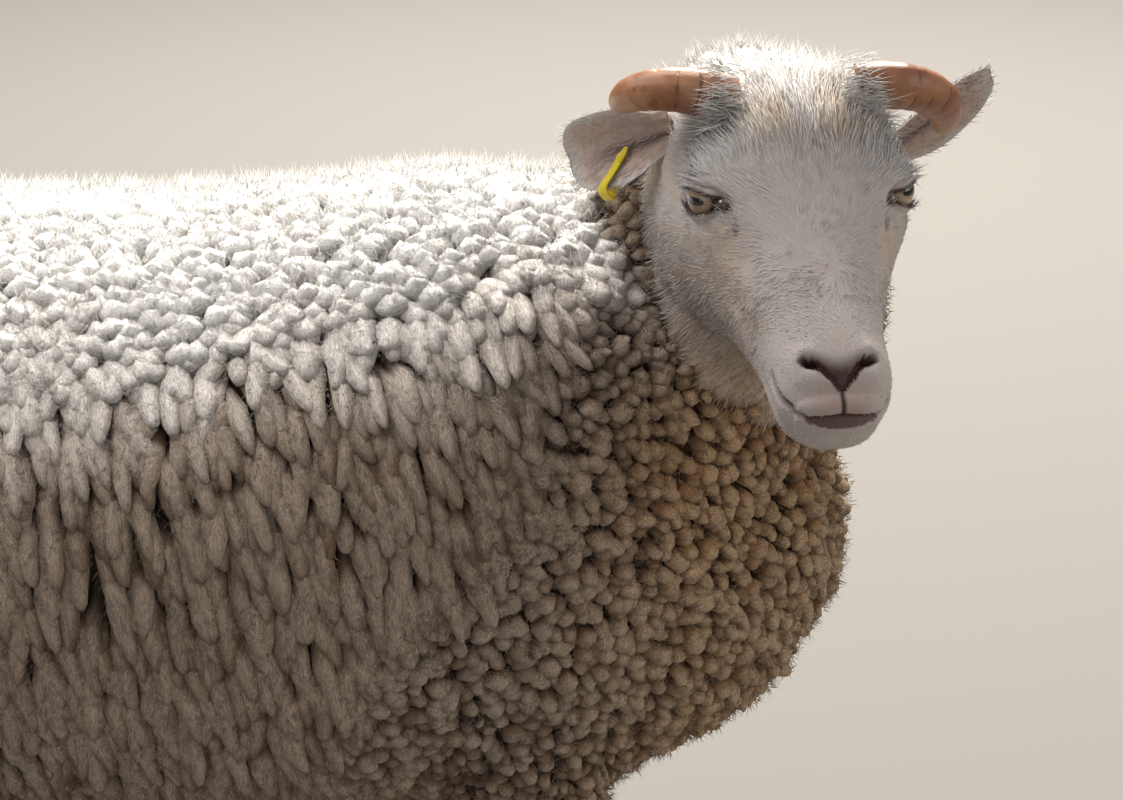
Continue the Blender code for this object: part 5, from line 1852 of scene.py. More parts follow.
    def tufts_by_ears(self) -> Strands:
        """Loose white hairs between ears and horns and round the horns' roots."""
        random = np.random.default_rng(37)
        groups, sizes = [], []
        for side, by_ear, by_horn, middle, size in self.tufts:
            along = random.normal(0.038, 0.013, by_ear)
            up = random.normal(0.036, 0.012, by_ear)
            groups.append(np.stack([along, np.full(by_ear, side * 0.048), up], axis=-1))
            sizes.append(random.uniform(0.010, 0.024, by_ear))
            around = random.normal(-0.25 * math.pi, 1.15, by_horn)
            reach = random.uniform(0.0150, 0.0185, by_horn)
            sideways = side * random.uniform(-0.012, 0.010, by_horn)
            ring = [reach * np.cos(around), sideways, reach * np.sin(around)]
            groups.append(np.stack(ring, axis=-1) + middle)
            sizes.append(random.uniform(0.007, 0.017, by_horn) * size)
        local = np.concatenate(groups)
        count = len(local)
        outward = np.sign(local[:, 1:2]) * LEFT
        way = np.array((-0.10, 0.0, -0.05)) + outward + random.normal(0, 0.20, (count, 3))
        axes = self.head.pose.axes()
        off = (local - np.array((0.034, 0.0, 0.055))) * (1, 0, 1)
        out = unit(np.array((0.25, 0.0, 0.75)) + 25.0 * off) @ axes
        return Strands(
            Roots(self.head.pose.to_world(local), out, {"back": np.ones(count)}),
            out,
            unit(way) @ axes,
            random.uniform(0.001, 0.006, count),
            np.concatenate(sizes),
            np.full(count, 0.00030),
            bend=random.normal(0, 0.002, (count, 3)) - UP * 0.001,
            shape=(1.0, 0.85, 0.5),
            seed=38,
        )

    def on_ear(self, ear: EarForm, surface: Surface) -> tuple[Strands, np.ndarray]:
        """Hair of one ear, longest at its rim, thin inside; with the places on the map."""
        roots = scatter(surface, lambda points, marks: np.full(len(points), 0.0019), 9)
        root, (way, sideways, _) = ear.frame()
        local = roots.points - root
        along = local @ way / ear.length
        across = np.clip(local @ sideways / (ear.half_width * ear.width(along) + 1e-4), -1, 1)
        count = len(roots)
        random = np.random.default_rng(43)
        hollow = roots.marks["hollow"]
        rim = smoothstep(0.72, 0.96, np.abs(across))
        keep = random.random(count) > 0.45 * hollow * (1 - rim)
        lean = sideways * (across * (0.5 + 0.5 * hollow))[:, None]
        # The dark in the hollow is painted shade.
        roots.marks = {"back": rim, Mark.PINK.value: hollow * 0.35 * (1 - rim), Mark.DARK.value: 0.1 * hollow}
        strands = Strands(
            roots,
            roots.normals,
            tangent(way + lean + random.normal(0, 0.2, (count, 3)), roots.normals),
            0.0007 + 0.0012 * rim + 0.0012 * hollow,
            (0.0045 + 0.0020 * rim) * random.uniform(0.7, 1.3, count),
            np.full(count, 0.00030),
            bend=random.normal(0, 0.0007, (count, 3)),
            shape=(1.0, 0.75),
            rise_power=0.7,
            seed=44,
        )
        places = self.unwrap.ear(ear.side, along, across, (hollow > 0.3).astype(float))
        return strands.picked(keep), places[keep]

    def on_leg(self, surface: Surface, side: float) -> tuple[Strands, np.ndarray]:
        """Hair of a lower leg, lying down it; with the places on the map."""
        roots = scatter(surface, lambda points, marks: np.where(points[:, 2] > 0.026, 0.0029, 0.0), 12)
        count = len(roots)
        random = np.random.default_rng(47)
        low = smoothstep(0.075, 0.045, roots.points[:, 2])
        roots.marks = {Mark.TAN.value: 0.35 + 0.3 * lattice_noise(roots.points, 0.03, 48), "back": 0 * low}
        strands = Strands(
            roots,
            roots.normals,
            tangent(random.normal(0, 0.16, (count, 3)) - UP, roots.normals),
            0.0012 + 0.0008 * low,
            random.uniform(0.006, 0.010, count),
            np.full(count, 0.00055),
            bend=random.normal(0, 0.0008, (count, 3)),
            seed=49,
        )
        return strands, self.unwrap.leg(roots.points, side)

    def lashes(self) -> Strands:
        """Pale lashes along the upper lids, and a few along the lower."""
        random = np.random.default_rng(53)
        starts, ways, outs = [], [], []
        for socket in self.sockets:
            centre, axes = socket.frame()
            turn = np.concatenate([random.uniform(0.25, 2.9, 75), random.uniform(3.6, 5.6, 26)])
            edge = socket.opening(turn)
            edge = edge + 0.0006 * unit(edge)
            away = raised(unit(edge) * 0.55, np.full(len(turn), 0.8)) + np.array((-0.15, 0.15, 0.0))
            away = unit(away + random.normal(0, 0.14, (len(turn), 3)))
            starts.append(centre + raised(edge, socket.ball_height(edge, 0.0) + 0.0004) @ axes)
            ways.append(away @ axes)
            outs.append(np.broadcast_to(axes[2], (len(turn), 3)))
        pose = self.head.pose
        count = sum(map(len, starts))
        out = np.concatenate(outs) @ pose.axes()
        return Strands(
            Roots(pose.to_world(np.concatenate(starts)), out, {"back": np.ones(count)}),
            UP + 0 * out,
            np.concatenate(ways) @ pose.axes(),
            np.full(count, 0.0004),
            random.uniform(0.0045, 0.0085, count),
            np.full(count, 0.00022),
            bend=UP * -0.0012 + 0 * out,
            shape=(1.0, 0.8, 0.5),
            rise_power=1.0,
            seed=54,
        )


# ---------------------------------------------------------------- finishes
Link = bpy.types.NodeSocket
Colour = tuple[float, float, float]


def opaque(value: object) -> object:
    """A colour of three numbers with full opacity; anything else as it is."""
    return (*value, 1.0) if isinstance(value, tuple) and len(value) == 3 else value


@dataclass
class Nodes:
    """A short way to write a network of shader nodes."""

    tree: bpy.types.NodeTree

    def add(self, kind: str, inputs: dict | None = None, **settings: object) -> bpy.types.Node:
        """A node with its settings made and its inputs set to values or joined to sockets."""
        node = self.tree.nodes.new(kind)
        for name, value in settings.items():
            setattr(node, name, value)
        for name, value in (inputs or {}).items():
            if isinstance(value, Link):
                self.tree.links.new(value, node.inputs[name])
            else:
                node.inputs[name].default_value = value
        return node

    def mark(self, name: str) -> Link:
        """A value kept at the points."""
        return self.add("ShaderNodeAttribute", attribute_name=name).outputs["Fac"]

    def vector_mark(self, name: str) -> Link:
        """A vector kept at the points."""
        return self.add("ShaderNodeAttribute", attribute_name=name).outputs["Vector"]

    def place(self) -> Link:
        """Object coordinates."""
        return self.add("ShaderNodeTexCoord").outputs["Object"]

    def math(self, operation: str, *values: object) -> Link:
        """One step of arithmetic on values or sockets."""
        return self.add("ShaderNodeMath", dict(enumerate(values)), operation=operation).outputs[0]

    def vector(self, operation: str, *values: object) -> Link:
        """One step of arithmetic on vectors."""
        return self.add("ShaderNodeVectorMath", dict(enumerate(values)), operation=operation).outputs[0]

    def joined(self, x: object, y: object, z: object) -> Link:
        """Three values as one vector."""
        return self.add("ShaderNodeCombineXYZ", {0: x, 1: y, 2: z}).outputs[0]

    def mix(self, share: object, first: object, second: object, how: str = "MIX") -> Link:
        """Two colours mixed."""
        wanted = {0: share, 6: opaque(first), 7: opaque(second)}
        return self.add("ShaderNodeMix", wanted, data_type="RGBA", blend_type=how).outputs[2]

    def shaded(self, colour: Link, value: Link) -> Link:
        """A colour made lighter or darker by a value."""
        grey = self.add("ShaderNodeCombineColor", {0: value, 1: value, 2: value}).outputs[0]
        return self.mix(1.0, colour, grey, "MULTIPLY")

    def step(self, value: Link, low: float, high: float, to_low: float = 0.0, to_high: float = 1.0) -> Link:
        """A smooth step of a value, from to_low at low to to_high at high."""
        wanted = {"Value": value, "From Min": low, "From Max": high, "To Min": to_low, "To Max": to_high}
        return self.add("ShaderNodeMapRange", wanted, interpolation_type="SMOOTHSTEP").outputs[0]

    def noise(
        self, vector: Link, scale: float, detail: float = 3.0, stretch: Sequence[float] = (1, 1, 1)
    ) -> Link:
        """Fractal noise over places stretched by a factor along each axis."""
        moved = self.vector("MULTIPLY", vector, tuple(stretch))
        wanted = {"Vector": moved, "Scale": scale, "Detail": detail, "Roughness": 0.55}
        return self.add("ShaderNodeTexNoise", wanted).outputs[0]

    def bump(self, height: Link, strength: object, distance: float, normal: Link | None = None) -> Link:
        """A normal tilted by a height."""
        wanted = {"Height": height, "Strength": strength, "Distance": distance}
        if normal is not None:
            wanted["Normal"] = normal
        return self.add("ShaderNodeBump", wanted).outputs[0]

    def soft_normal(self, share: object, rise: object) -> Link:
        """The surface's normal turned towards the coat's way out and upward: normal + share*grain + rise*up.

        It stands for the light that soaks through loose fibres.
        """
        wanted = {0: self.vector_mark("grain"), "Scale": share}
        grain = self.add("ShaderNodeVectorMath", wanted, operation="SCALE").outputs[0]
        own = self.add("ShaderNodeNewGeometry").outputs["Normal"]
        whole = self.vector("ADD", self.vector("ADD", grain, own), self.joined(0.0, 0.0, rise))
        return self.vector("NORMALIZE", whole)

    def finish(self, **inputs: object) -> None:
        """Joins a Principled surface to the material's output. Names have _ for a space."""
        wanted = {name.replace("_", " "): opaque(value) for name, value in inputs.items()}
        surface = self.add("ShaderNodeBsdfPrincipled", wanted)
        self.add("ShaderNodeOutputMaterial", {"Surface": surface.outputs[0]})


@dataclass(frozen=True)
class CoatTint:
    """The markings that skin and hair share: white and tan hair, rusty tinge partly painted glow of light, pink
    and dark bare skin, the dark also painted shade in the ears and under the upper lashes.
    """

    white: Colour = (0.82, 0.79, 0.755)
    tan: Colour = (0.62, 0.43, 0.26)
    # Rusty tinge: partly warm hair and wool, partly painted glow of light through it.
    rust_and_glow: Colour = (0.55, 0.33, 0.16)
    pink: Colour = (0.40, 0.245, 0.215)
    dark: Colour = (0.062, 0.027, 0.026)

    def group(self) -> bpy.types.NodeTree:
        """Node group from a base colour and the marks to one colour."""
        tree = bpy.data.node_groups.new("Coat tint", "ShaderNodeTree")
        tree.interface.new_socket("Base", in_out="INPUT", socket_type="NodeSocketColor")
        tree.interface.new_socket("Color", in_out="OUTPUT", socket_type="NodeSocketColor")
        n = Nodes(tree)
        mottle = n.step(n.noise(n.place(), 60.0, 4.0), 0.35, 0.65, 0.75, 1.25)
        colour = n.add("NodeGroupInput").outputs["Base"]
        for share, tint in (
            (n.math("MULTIPLY", n.mark("back"), 0.9), self.white),
            (n.math("MULTIPLY", n.mark(Mark.TAN.value), mottle), self.tan),
            (n.mark("glow"), self.rust_and_glow),
            (n.mark(Mark.PINK.value), self.pink),
            (n.mark(Mark.DARK.value), self.dark),
        ):
            colour = n.mix(share, colour, tint)
        n.add("NodeGroupOutput", {"Color": colour})
        return tree


@dataclass(frozen=True)
class Finish:
    """A material of the model."""

    name: ClassVar[str] = "plain"

    def build(self) -> bpy.types.Material:
        """Makes the material."""
        material = bpy.data.materials.new(self.name)
        material.use_nodes = True
        material.node_tree.nodes.clear()
        self.dress(Nodes(material.node_tree))
        return material

    def dress(self, n: Nodes) -> None:
        """Writes the material's network: a plain surface."""
        n.finish()


@dataclass(frozen=True)
class Skin(Finish):
    """Skin with very short flat hair: fine bump, moist and pored where it is dark. Under the wool it is dark
    brown, matted wool with painted shade in the gaps between locks.
    """

    name: ClassVar[str] = "skin"
    shared: bpy.types.NodeTree
    # Greyish pink: the skin's colour, darkened so the gaps between hairs show painted shade.
    base: Colour = (0.56, 0.50, 0.47)
    # Under the wool: dark brown matted wool with painted shade for the gaps between the locks.
    mat_and_shade_dark: Colour = (0.09, 0.052, 0.028)
    mat_and_shade_pale: Colour = (0.22, 0.140, 0.080)

    def dress(self, n: Nodes) -> None:
        """Writes the material's network."""
        colour = n.add("ShaderNodeGroup", {"Base": opaque(self.base)}, node_tree=self.shared).outputs["Color"]
        woolly, dark = n.mark("woolly"), n.mark(Mark.DARK.value)
        # Dark brown where the skin shows between locks: painted shade over matted wool.
        matted = n.mix(n.step(n.noise(n.place(), 120.0, 4.0), 0.35, 0.65), self.mat_and_shade_dark, self.mat_and_shade_pale)
        colour = n.mix(woolly, colour, matted)
        fine = n.noise(n.place(), 900.0, 2.0)
        pores = n.add("ShaderNodeTexVoronoi", {"Vector": n.place(), "Scale": 700.0}).outputs["Distance"]
        height = n.math("MULTIPLY_ADD", pores, n.math("MULTIPLY", dark, 1.2), fine)
        felt = n.noise(n.place(), 160.0, 4.0)
        height = n.math("MULTIPLY_ADD", felt, n.math("MULTIPLY", woolly, 6.0), height)
        n.finish(
            Base_Color=colour,
            Roughness=n.step(dark, 0.3, 1.0, 0.75, 0.42),
            Normal=n.bump(height, 0.35, 0.0006),
            Specular_IOR_Level=0.35,
        )


@dataclass(frozen=True)
class ShortHair(Finish):
    """Short hair: the shared markings over a lavender grey that is white hair in painted shade; each hair a
    little lighter or darker at random, and darker at its root by painted shade.
    """

    name: ClassVar[str] = "hair"
    shared: bpy.types.NodeTree
    # Lavender grey: white hair with painted shade.
    base: Colour = (0.69, 0.665, 0.675)

    def dress(self, n: Nodes) -> None:
        """Writes the material's network."""
        colour = n.add("ShaderNodeGroup", {"Base": opaque(self.base)}, node_tree=self.shared).outputs["Color"]
        vary = n.step(n.mark("chance"), 0.0, 1.0, 0.88, 1.08)
        # Darker near the root: painted shade close to the skin; the rest varies at random.
        shade = n.math("MULTIPLY", vary, n.step(n.mark("tone"), 0.0, 0.6, 0.92, 1.0))
        n.finish(
            Base_Color=n.shaded(colour, shade),
            Roughness=0.6,
            Specular_IOR_Level=0.2,
            Sheen_Weight=0.45,
            Sheen_Roughness=0.4,
            Normal=n.soft_normal(1.2, n.math("MULTIPLY", n.mark("back"), 0.8)),
        )


@dataclass(frozen=True)
class Wool(Finish):
    """Fleece: roots darker by painted shade deep in the coat, tips cream, back near white mostly by painted
    light, throat rusty partly by painted glow.

    Each colour is given for the root, the middle and the tip of a lock.
    """

    name: ClassVar[str] = "wool"
    # Root, middle and tip colours: the dark roots are painted shade deep in the coat; the near white back is
    # mostly painted light from above; the rusty throat is warm wool with painted glow of light through it.
    flank: tuple[Colour, ...] = ((0.125, 0.060, 0.028), (0.39, 0.245, 0.158), (0.73, 0.575, 0.455))
    throat: tuple[Colour, ...] = ((0.26, 0.105, 0.034), (0.56, 0.285, 0.112), (0.85, 0.560, 0.320))
    back: tuple[Colour, ...] = ((0.78, 0.70, 0.61), (0.92, 0.88, 0.83), (0.95, 0.93, 0.90))

    def dress(self, n: Nodes) -> None:
        """Writes the material's network."""
        place = n.place()
        rise = n.math("ADD", n.mark("tone"), n.step(n.noise(place, 22.0, 3.0), 0.3, 0.7, -0.10, 0.10))
        rise = n.math("ADD", rise, n.step(n.mark("chance"), 0.0, 1.0, -0.07, 0.07))
        glow, back = n.mark("glow"), n.mark("back")
        # back: near white up top, mostly painted light from above; glow: rusty, partly painted glow of light
        # through the wool.
        root, middle, tip = (
            n.mix(back, n.mix(glow, flank, throat), pale)
            for flank, throat, pale in zip(self.flank, self.throat, self.back)
        )
        # Darker towards the roots: painted shade deep in the coat.
        colour = n.mix(n.step(rise, 0.30, 0.68), root, middle)
        colour = n.mix(n.step(rise, 0.62, 0.95), colour, tip)
        fibre = n.noise(n.vector("ADD", n.vector_mark("strand"), place), 9.0, 4.0, (5.0, 1.6, 7.0))
        fuzz, curl = n.noise(place, 1100.0, 3.0), n.noise(place, 330.0, 5.0)
        fleck = n.step(n.math("ADD", fibre, n.math("MULTIPLY", fuzz, 0.6)), 0.62, 0.98, 0.66, 1.20)
        even = n.math("ADD", n.step(n.mark("loose"), 0.0, 1.0, 0.45, 2.2), n.math("MULTIPLY", back, 1.3))
        soft = n.soft_normal(even, n.math("MULTIPLY", back, 1.7))
        height = n.math("ADD", n.math("ADD", fibre, n.math("MULTIPLY", fuzz, 0.8)), curl)
        n.finish(
            Base_Color=n.shaded(colour, fleck),
            Roughness=0.95,
            Specular_IOR_Level=0.08,
            Normal=n.bump(height, n.step(back, 0.0, 0.8, 1.0, 0.20), 0.0025, soft),
            Sheen_Weight=0.45,
            Sheen_Roughness=0.5,
            Sheen_Tint=(1.0, 0.94, 0.86),
        )


@dataclass(frozen=True)
class Eye(Finish):
    """Amber iris with radial fibres and a dark rim, level dark pupil, off-white ball, brown corner lump."""

    name: ClassVar[str] = "eye"
    amber: tuple[Colour, ...] = ((0.23, 0.150, 0.082), (0.56, 0.42, 0.28))
    inner: Colour = (0.27, 0.19, 0.09)
    rim: Colour = (0.045, 0.025, 0.016)
    ball: tuple[Colour, ...] = ((0.10, 0.06, 0.04), (0.40, 0.32, 0.27))
    behind: Colour = (0.42, 0.33, 0.28)
    pupil: Colour = (0.006, 0.007, 0.012)
    pupil_reach: tuple[float, float] = (0.58, 0.24)
    lump: tuple[Colour, ...] = ((0.050, 0.026, 0.020), (0.105, 0.055, 0.042))

    def dress(self, n: Nodes) -> None:
        """Writes the material's network. Distances are in radii of the iris."""
        x, y, z = n.add("ShaderNodeSeparateXYZ", {0: n.vector_mark("disc")}).outputs
        reach = n.math("SQRT", n.math("ADD", n.math("MULTIPLY", x, x), n.math("MULTIPLY", y, y)))
        angle = n.math("ARCTAN2", y, x)
        spokes = n.joined(n.math("MULTIPLY", angle, 9.0), n.math("MULTIPLY", reach, 1.5), 0.0)
        rays = n.noise(spokes, 2.4, 4.0)
        colour = n.mix(n.step(rays, 0.30, 0.70), *self.amber)
        colour = n.mix(n.step(reach, 0.55, 0.30, 0.0, 0.6), colour, self.inner)
        colour = n.mix(n.step(reach, 0.82, 0.97), colour, self.rim)
        colour = n.mix(n.step(reach, 1.0, 1.10), colour, n.mix(n.step(reach, 1.05, 1.5), *self.ball))
        sides = (n.math("DIVIDE", value, size) for value, size in zip((x, y), self.pupil_reach))
        pupil = n.math("ADD", *(n.math("POWER", n.math("ABSOLUTE", side), 2.6) for side in sides))
        colour = n.mix(n.step(pupil, 1.15, 0.85), colour, self.pupil)
        colour = n.mix(n.step(z, 0.0, 0.2), self.behind, colour)
        lump = n.mix(n.step(n.noise(n.place(), 400.0, 3.0), 0.4, 0.6), *self.lump)
        colour = n.mix(n.mark("lump"), colour, lump)
        n.finish(
            Base_Color=colour,
            Roughness=0.12,
            Coat_Weight=1.0,
            Coat_Roughness=0.02,
            Specular_IOR_Level=0.5,
        )


@dataclass(frozen=True)
class Horn(Finish):
    """Horn: amber in paler patches, pale at the base, fine long fibres, dark cracks between the ridges."""

    name: ClassVar[str] = "horn"
    amber: tuple[Colour, ...] = ((0.33, 0.115, 0.050), (0.52, 0.255, 0.130))
    tip: Colour = (0.52, 0.30, 0.150)
    base: Colour = (0.52, 0.30, 0.215)
    crack: Colour = (0.070, 0.022, 0.008)
    fibre: Colour = (0.15, 0.045, 0.012)
    deep: Colour = (0.66, 0.52, 0.42)

    def dress(self, n: Nodes) -> None:
        """Writes the material's network."""
        place = n.place()
        share, band = n.mark("share"), n.mark("band")
        broad = n.noise(place, 45.0, 4.0)
        fine = n.noise(place, 420.0, 4.0, (1.0, 1.0, 2.5))
        crack = n.math("MULTIPLY", n.step(band, -0.80, -1.0), n.step(n.noise(place, 60.0, 2.0), 0.50, 0.62))
        colour = n.mix(n.step(broad, 0.36, 0.66), *self.amber)
        colour = n.mix(n.step(share, 0.45, 0.95, 0.0, 0.70), colour, self.tip)
        colour = n.mix(n.step(share, 0.25, 0.05, 0.0, 0.45), colour, self.base)
        colour = n.mix(n.math("MULTIPLY", crack, 0.70), colour, self.crack)
        colour = n.mix(n.step(fine, 0.58, 0.78, 0.0, 0.30), colour, self.fibre)
        colour = n.mix(n.math("MULTIPLY", n.mark("deep"), 0.75), colour, self.deep, "MULTIPLY")
        height = n.math("ADD", n.math("MULTIPLY", fine, 0.6), n.math("MULTIPLY", crack, -1.0))
        n.finish(
            Base_Color=colour,
            Roughness=n.step(broad, 0.3, 0.7, 0.36, 0.55),
            Normal=n.bump(height, 0.5, 0.0006),
            Coat_Weight=0.15,
            Coat_Roughness=0.25,
        )


@dataclass(frozen=True)
class Hoof(Finish):
    """Hoof horn: dark grey-brown, streaked down the wall, dusty and chipped at the ground."""

    name: ClassVar[str] = "hoof"
    wall: tuple[Colour, ...] = ((0.060, 0.045, 0.036), (0.155, 0.120, 0.092))
    dust: Colour = (0.22, 0.18, 0.14)

    def dress(self, n: Nodes) -> None:
        """Writes the material's network."""
        place = n.place()
        streak, chips = n.noise(place, 260.0, 3.0, (1.0, 1.0, 0.12)), n.noise(place, 500.0, 4.0)
        colour = n.mix(n.step(streak, 0.4, 0.65), *self.wall)
        colour = n.mix(n.step(n.mark("height"), 0.008, 0.0, 0.0, 0.5), colour, self.dust)
        n.finish(Base_Color=colour, Roughness=0.55, Normal=n.bump(n.math("ADD", streak, chips), 0.4, 0.0006))


@dataclass(frozen=True)
class Tag(Finish):
    """Yellow moulded plastic, softly scuffed."""

    name: ClassVar[str] = "tag"
    yellow: tuple[Colour, ...] = ((0.78, 0.62, 0.028), (0.55, 0.42, 0.05))

    def dress(self, n: Nodes) -> None:
        """Writes the material's network."""
        scuff = n.noise(n.place(), 350.0, 4.0)
        colour = n.mix(n.step(scuff, 0.50, 0.72, 0.0, 0.35), *self.yellow)
        n.finish(
            Base_Color=colour,
            Roughness=n.step(scuff, 0.3, 0.7, 0.32, 0.50),
            Normal=n.bump(scuff, 0.15, 0.0004),
        )


@dataclass(frozen=True)
class Floor(Finish):
    """Pale matte floor."""

    name: ClassVar[str] = "floor"
    colour: Colour = (0.27, 0.257, 0.240)

    def dress(self, n: Nodes) -> None:
        """Writes the material's network."""
        n.finish(Base_Color=self.colour, Roughness=0.9, Specular_IOR_Level=0.1)


# ---------------------------------------------------------------- studio
@dataclass(frozen=True)
class Lamp:
    """A square soft light at a place, turned to a point."""

    name: str
    place: tuple
    aim: tuple
    size: float
    power: float
    tint: Colour

    def build(self) -> None:
        """Adds the light to the scene."""
        lamp = bpy.data.lights.new(self.name, "AREA")
        lamp.size = self.size
        lamp.energy = self.power
        lamp.color = self.tint
        obj = bpy.data.objects.new(self.name, lamp)
        obj.location = self.place
        obj.rotation_euler = (Vector(self.aim) - Vector(self.place)).to_track_quat("-Z", "Y").to_euler()
        bpy.context.scene.collection.objects.link(obj)


@dataclass(frozen=True)
class Studio:
    """Pale floor, soft lights and the camera."""

    reach: float = 12.0
    air: Colour = (1.0, 0.985, 0.96)
    air_strength: float = 0.20
    lamps: tuple[Lamp, ...] = (
        Lamp("key", (0.7, 3.2, 3.5), (0.05, 0.0, 0.5), 1.4, 425.0, (1.0, 0.96, 0.90)),
        Lamp("top", (-0.50, 0.12, 1.60), (-0.14, -0.04, 0.60), 0.9, 12.5, (1.0, 0.97, 0.93)),
        Lamp("fill", (-1.0, -2.8, 1.3), (0.15, 0.0, 0.50), 2.4, 10.0, (1.0, 0.94, 0.87)),
        Lamp("side", (2.2, -0.6, 1.4), (0.25, 0.0, 0.55), 1.4, 13.0, (1.0, 0.95, 0.88)),
    )
    place: tuple = (0.2317, -1.8402, 1.186)
    tilt: float = math.radians(70.0)
    lens: float = 100.0
    sensor: float = 36.0

    def floor(self) -> None:
        """Adds the floor."""
        mesh = bpy.data.meshes.new("floor")
        corners = [(x * self.reach, y * self.reach, 0) for x, y in ((-1, -1), (1, -1), (1, 1), (-1, 1))]
        mesh.from_pydata(corners, [], [(0, 1, 2, 3)])
        mesh.materials.append(Floor().build())
        floor = bpy.data.objects.new("floor", mesh)
        bpy.context.scene.collection.objects.link(floor)

    def camera(self) -> None:
        """Adds the camera."""
        lens = bpy.data.cameras.new("camera")
        lens.lens = self.lens
        lens.sensor_width = self.sensor
        lens.sensor_fit = "HORIZONTAL"
        camera = bpy.data.objects.new("camera", lens)
        camera.location = self.place
        camera.rotation_euler = (self.tilt, 0.0, 0.0)
        bpy.context.scene.collection.objects.link(camera)
        bpy.context.scene.camera = camera

    def build(self) -> None:
        """Adds everything to the scene."""
        self.floor()
        world = bpy.data.worlds.new("studio")
        world.use_nodes = True
        background = world.node_tree.nodes["Background"]
        background.inputs["Color"].default_value = opaque(self.air)
        background.inputs["Strength"].default_value = self.air_strength
        bpy.context.scene.world = world
        for lamp in self.lamps:
            lamp.build()
        self.camera()
        bpy.context.scene.view_settings.view_transform = "Standard"


# ---------------------------------------------------------------- the whole model
FORE_BARE = (
    # x, y, z, half thickness fore and aft, half thickness across
    (0.216, 0.088, 0.234, 0.0235, 0.0215),
    (0.219, 0.087, 0.205, 0.0245, 0.0235),
    (0.217, 0.087, 0.180, 0.0200, 0.0195),
    (0.213, 0.086, 0.140, 0.0165, 0.0150),
    (0.212, 0.086, 0.105, 0.0175, 0.0160),
    (0.213, 0.086, 0.082, 0.0215, 0.0200),
    (0.223, 0.086, 0.058, 0.0185, 0.0190),
    (0.234, 0.086, 0.034, 0.0235, 0.0225),
    (0.240, 0.086, 0.015, 0.0235, 0.0225),
)
HIND_BARE = (
    (-0.364, 0.092, 0.256, 0.0290, 0.0210),
    (-0.385, 0.090, 0.226, 0.0330, 0.0225),
    (-0.384, 0.088, 0.198, 0.0250, 0.0200),
    (-0.378, 0.087, 0.150, 0.0175, 0.0155),
    (-0.374, 0.086, 0.108, 0.0185, 0.0165),
    (-0.372, 0.086, 0.084, 0.0225, 0.0205),
    (-0.362, 0.086, 0.059, 0.0190, 0.0195),
    (-0.351, 0.086, 0.034, 0.0240, 0.0225),
    (-0.345, 0.086, 0.015, 0.0240, 0.0225),
)
FLESH_NODES = (
    *("trunk", "neck", "head", "tail", "ear_left", "ear_right"),
    *(
        f"{leg}_{side}_{part}"
        for leg in ("foreleg", "hindleg")
        for side in SIDES
        for part in ("upper", "lower")
    ),
)


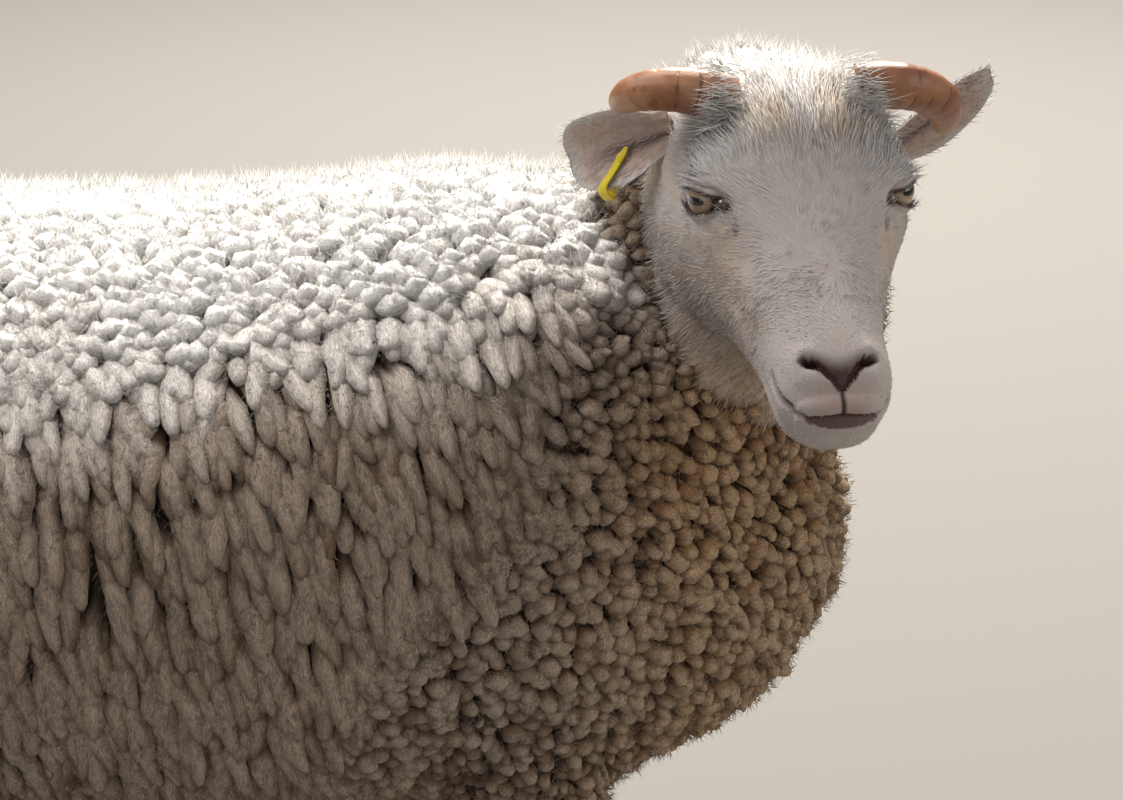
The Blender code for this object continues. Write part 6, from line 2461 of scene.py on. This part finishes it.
@dataclass
class Ewe:
    """The whole animal."""

    pose: HeadPose = field(default_factory=HeadPose)
    body: BodyForm = field(default_factory=BodyForm)

    def __post_init__(self) -> None:
        """Sets up the parts that depend on the head's pose."""
        self.head = HeadForm(self.pose)
        self.sockets = [EyeSocket(self.head, side) for side in SIDES.values()]
        self.ears = [EarForm(self.pose, side) for side in SIDES]
        self.legs = {
            f"{leg}_{name}": LegForm(side, rows)
            for leg, rows in (("foreleg", FORE_BARE), ("hindleg", HIND_BARE))
            for name, side in SIDES.items()
        }
        self.unwrap = Unwrap(self.pose)

    def head_skin(self) -> Surface:
        """Head and lids in the frame of the solids, with their marks."""
        sunk = self.head.surface()
        tree = sunk.tree()
        lids = [socket.surface(tree) for socket in self.sockets]
        for socket in self.sockets:
            sunk = socket.sunk(sunk)
        sunk.marks = self.head.marks(self.head.plain_points)
        whole = sunk.joined(lids)
        return replace(whole, points=self.pose.to_world(whole.points))

    def build(self) -> None:
        """Makes every piece."""
        tips = self.body.tips()
        tips.marks["depth"] = self.body.depth(tips.points, self.pose)
        LOG.info("body: %d faces", len(tips.quads))
        flesh, head = self.body.skin(tips, self.pose), self.head_skin()
        ears = [ear.surface() for ear in self.ears]
        shins = [leg.shin() for leg in self.legs.values()]
        shared = CoatTint().group()
        skin = make_piece("skin", flesh.joined([head, *ears, *shins]), Skin(shared).build())
        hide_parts(*FLESH_NODES)
        self.horny_parts()
        for piece in Fleece(self.body, self.pose, self.unwrap, tips).make(Wool().build()):
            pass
        for piece in self.hair(flesh, head, ears, shins, ShortHair(shared).build()):
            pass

    def hair(
        self,
        flesh: Surface,
        head: Surface,
        ears: Sequence[Surface],
        shins: Sequence[Surface],
        finish: bpy.types.Material,
    ) -> list[bpy.types.Object]:
        """Short hair over the skin of each part.

        Args:
            flesh: skin of the body, for the throat.
            head: skin of the head.
            ears: skin of each ear.
            shins: skin of each leg's short-haired part.
            finish: the hair's material.

        Returns:
            The pieces.
        """
        coat = Hair(self.head, self.sockets, self.unwrap)
        made = []
        for name, strands in (
            ("hair_throat", coat.on_throat(flesh)),
            ("hair_face", coat.on_face(head)),
            ("hair_tufts", coat.tufts_by_ears()),
            ("lashes", coat.lashes()),
        ):
            made += strands.make(name, finish, self.unwrap.head(strands.roots.points))
        for ear, surface in zip(self.ears, ears):
            strands, places = coat.on_ear(ear, surface)
            made += strands.make(f"hair_ear_{ear.side}", finish, places)
        for (name, leg), surface in zip(self.legs.items(), shins):
            strands, places = coat.on_leg(surface, leg.side)
            made += strands.make(f"hair_{name}", finish, places)
        return made

    def horny_parts(self) -> None:
        """Eyes, horns, hooves with dewclaws, and the ear tag."""
        eye, horn, hoof = Eye().build(), Horn().build(), Hoof().build()
        for name, socket in zip(SIDES, self.sockets):
            ball = EyeForm(socket).surface()
            ball = replace(ball, points=self.pose.to_world(ball.points))
            piece = make_piece(f"eyeball_{name}", ball, eye)
            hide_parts(f"eye_{name}")
            piece = make_piece(f"horn_shape_{name}", HornForm(self.pose, name).surface(), horn)
            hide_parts(f"horn_{name}")
        for name, leg in self.legs.items():
            for place, way in (("outer", leg.side), ("inner", -leg.side)):
                piece = make_piece(f"claw_{name}_{place}", leg.claw(way), hoof)
                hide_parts(f"hoof_{name}_{place}")
            make_piece(f"dewclaws_{name}", leg.dewclaws(), hoof)
        right = self.ears[list(SIDES).index("right")]
        tag = make_piece("tag_strap", TagForm(right).surface(), Tag().build())
        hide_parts("ear_tag")


def main() -> None:
    """Builds the model and its studio."""
    logging.basicConfig(level=logging.INFO, format="%(message)s")
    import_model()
    Ewe().build()
    Studio().build()


if __name__ == "__main__":
    main()
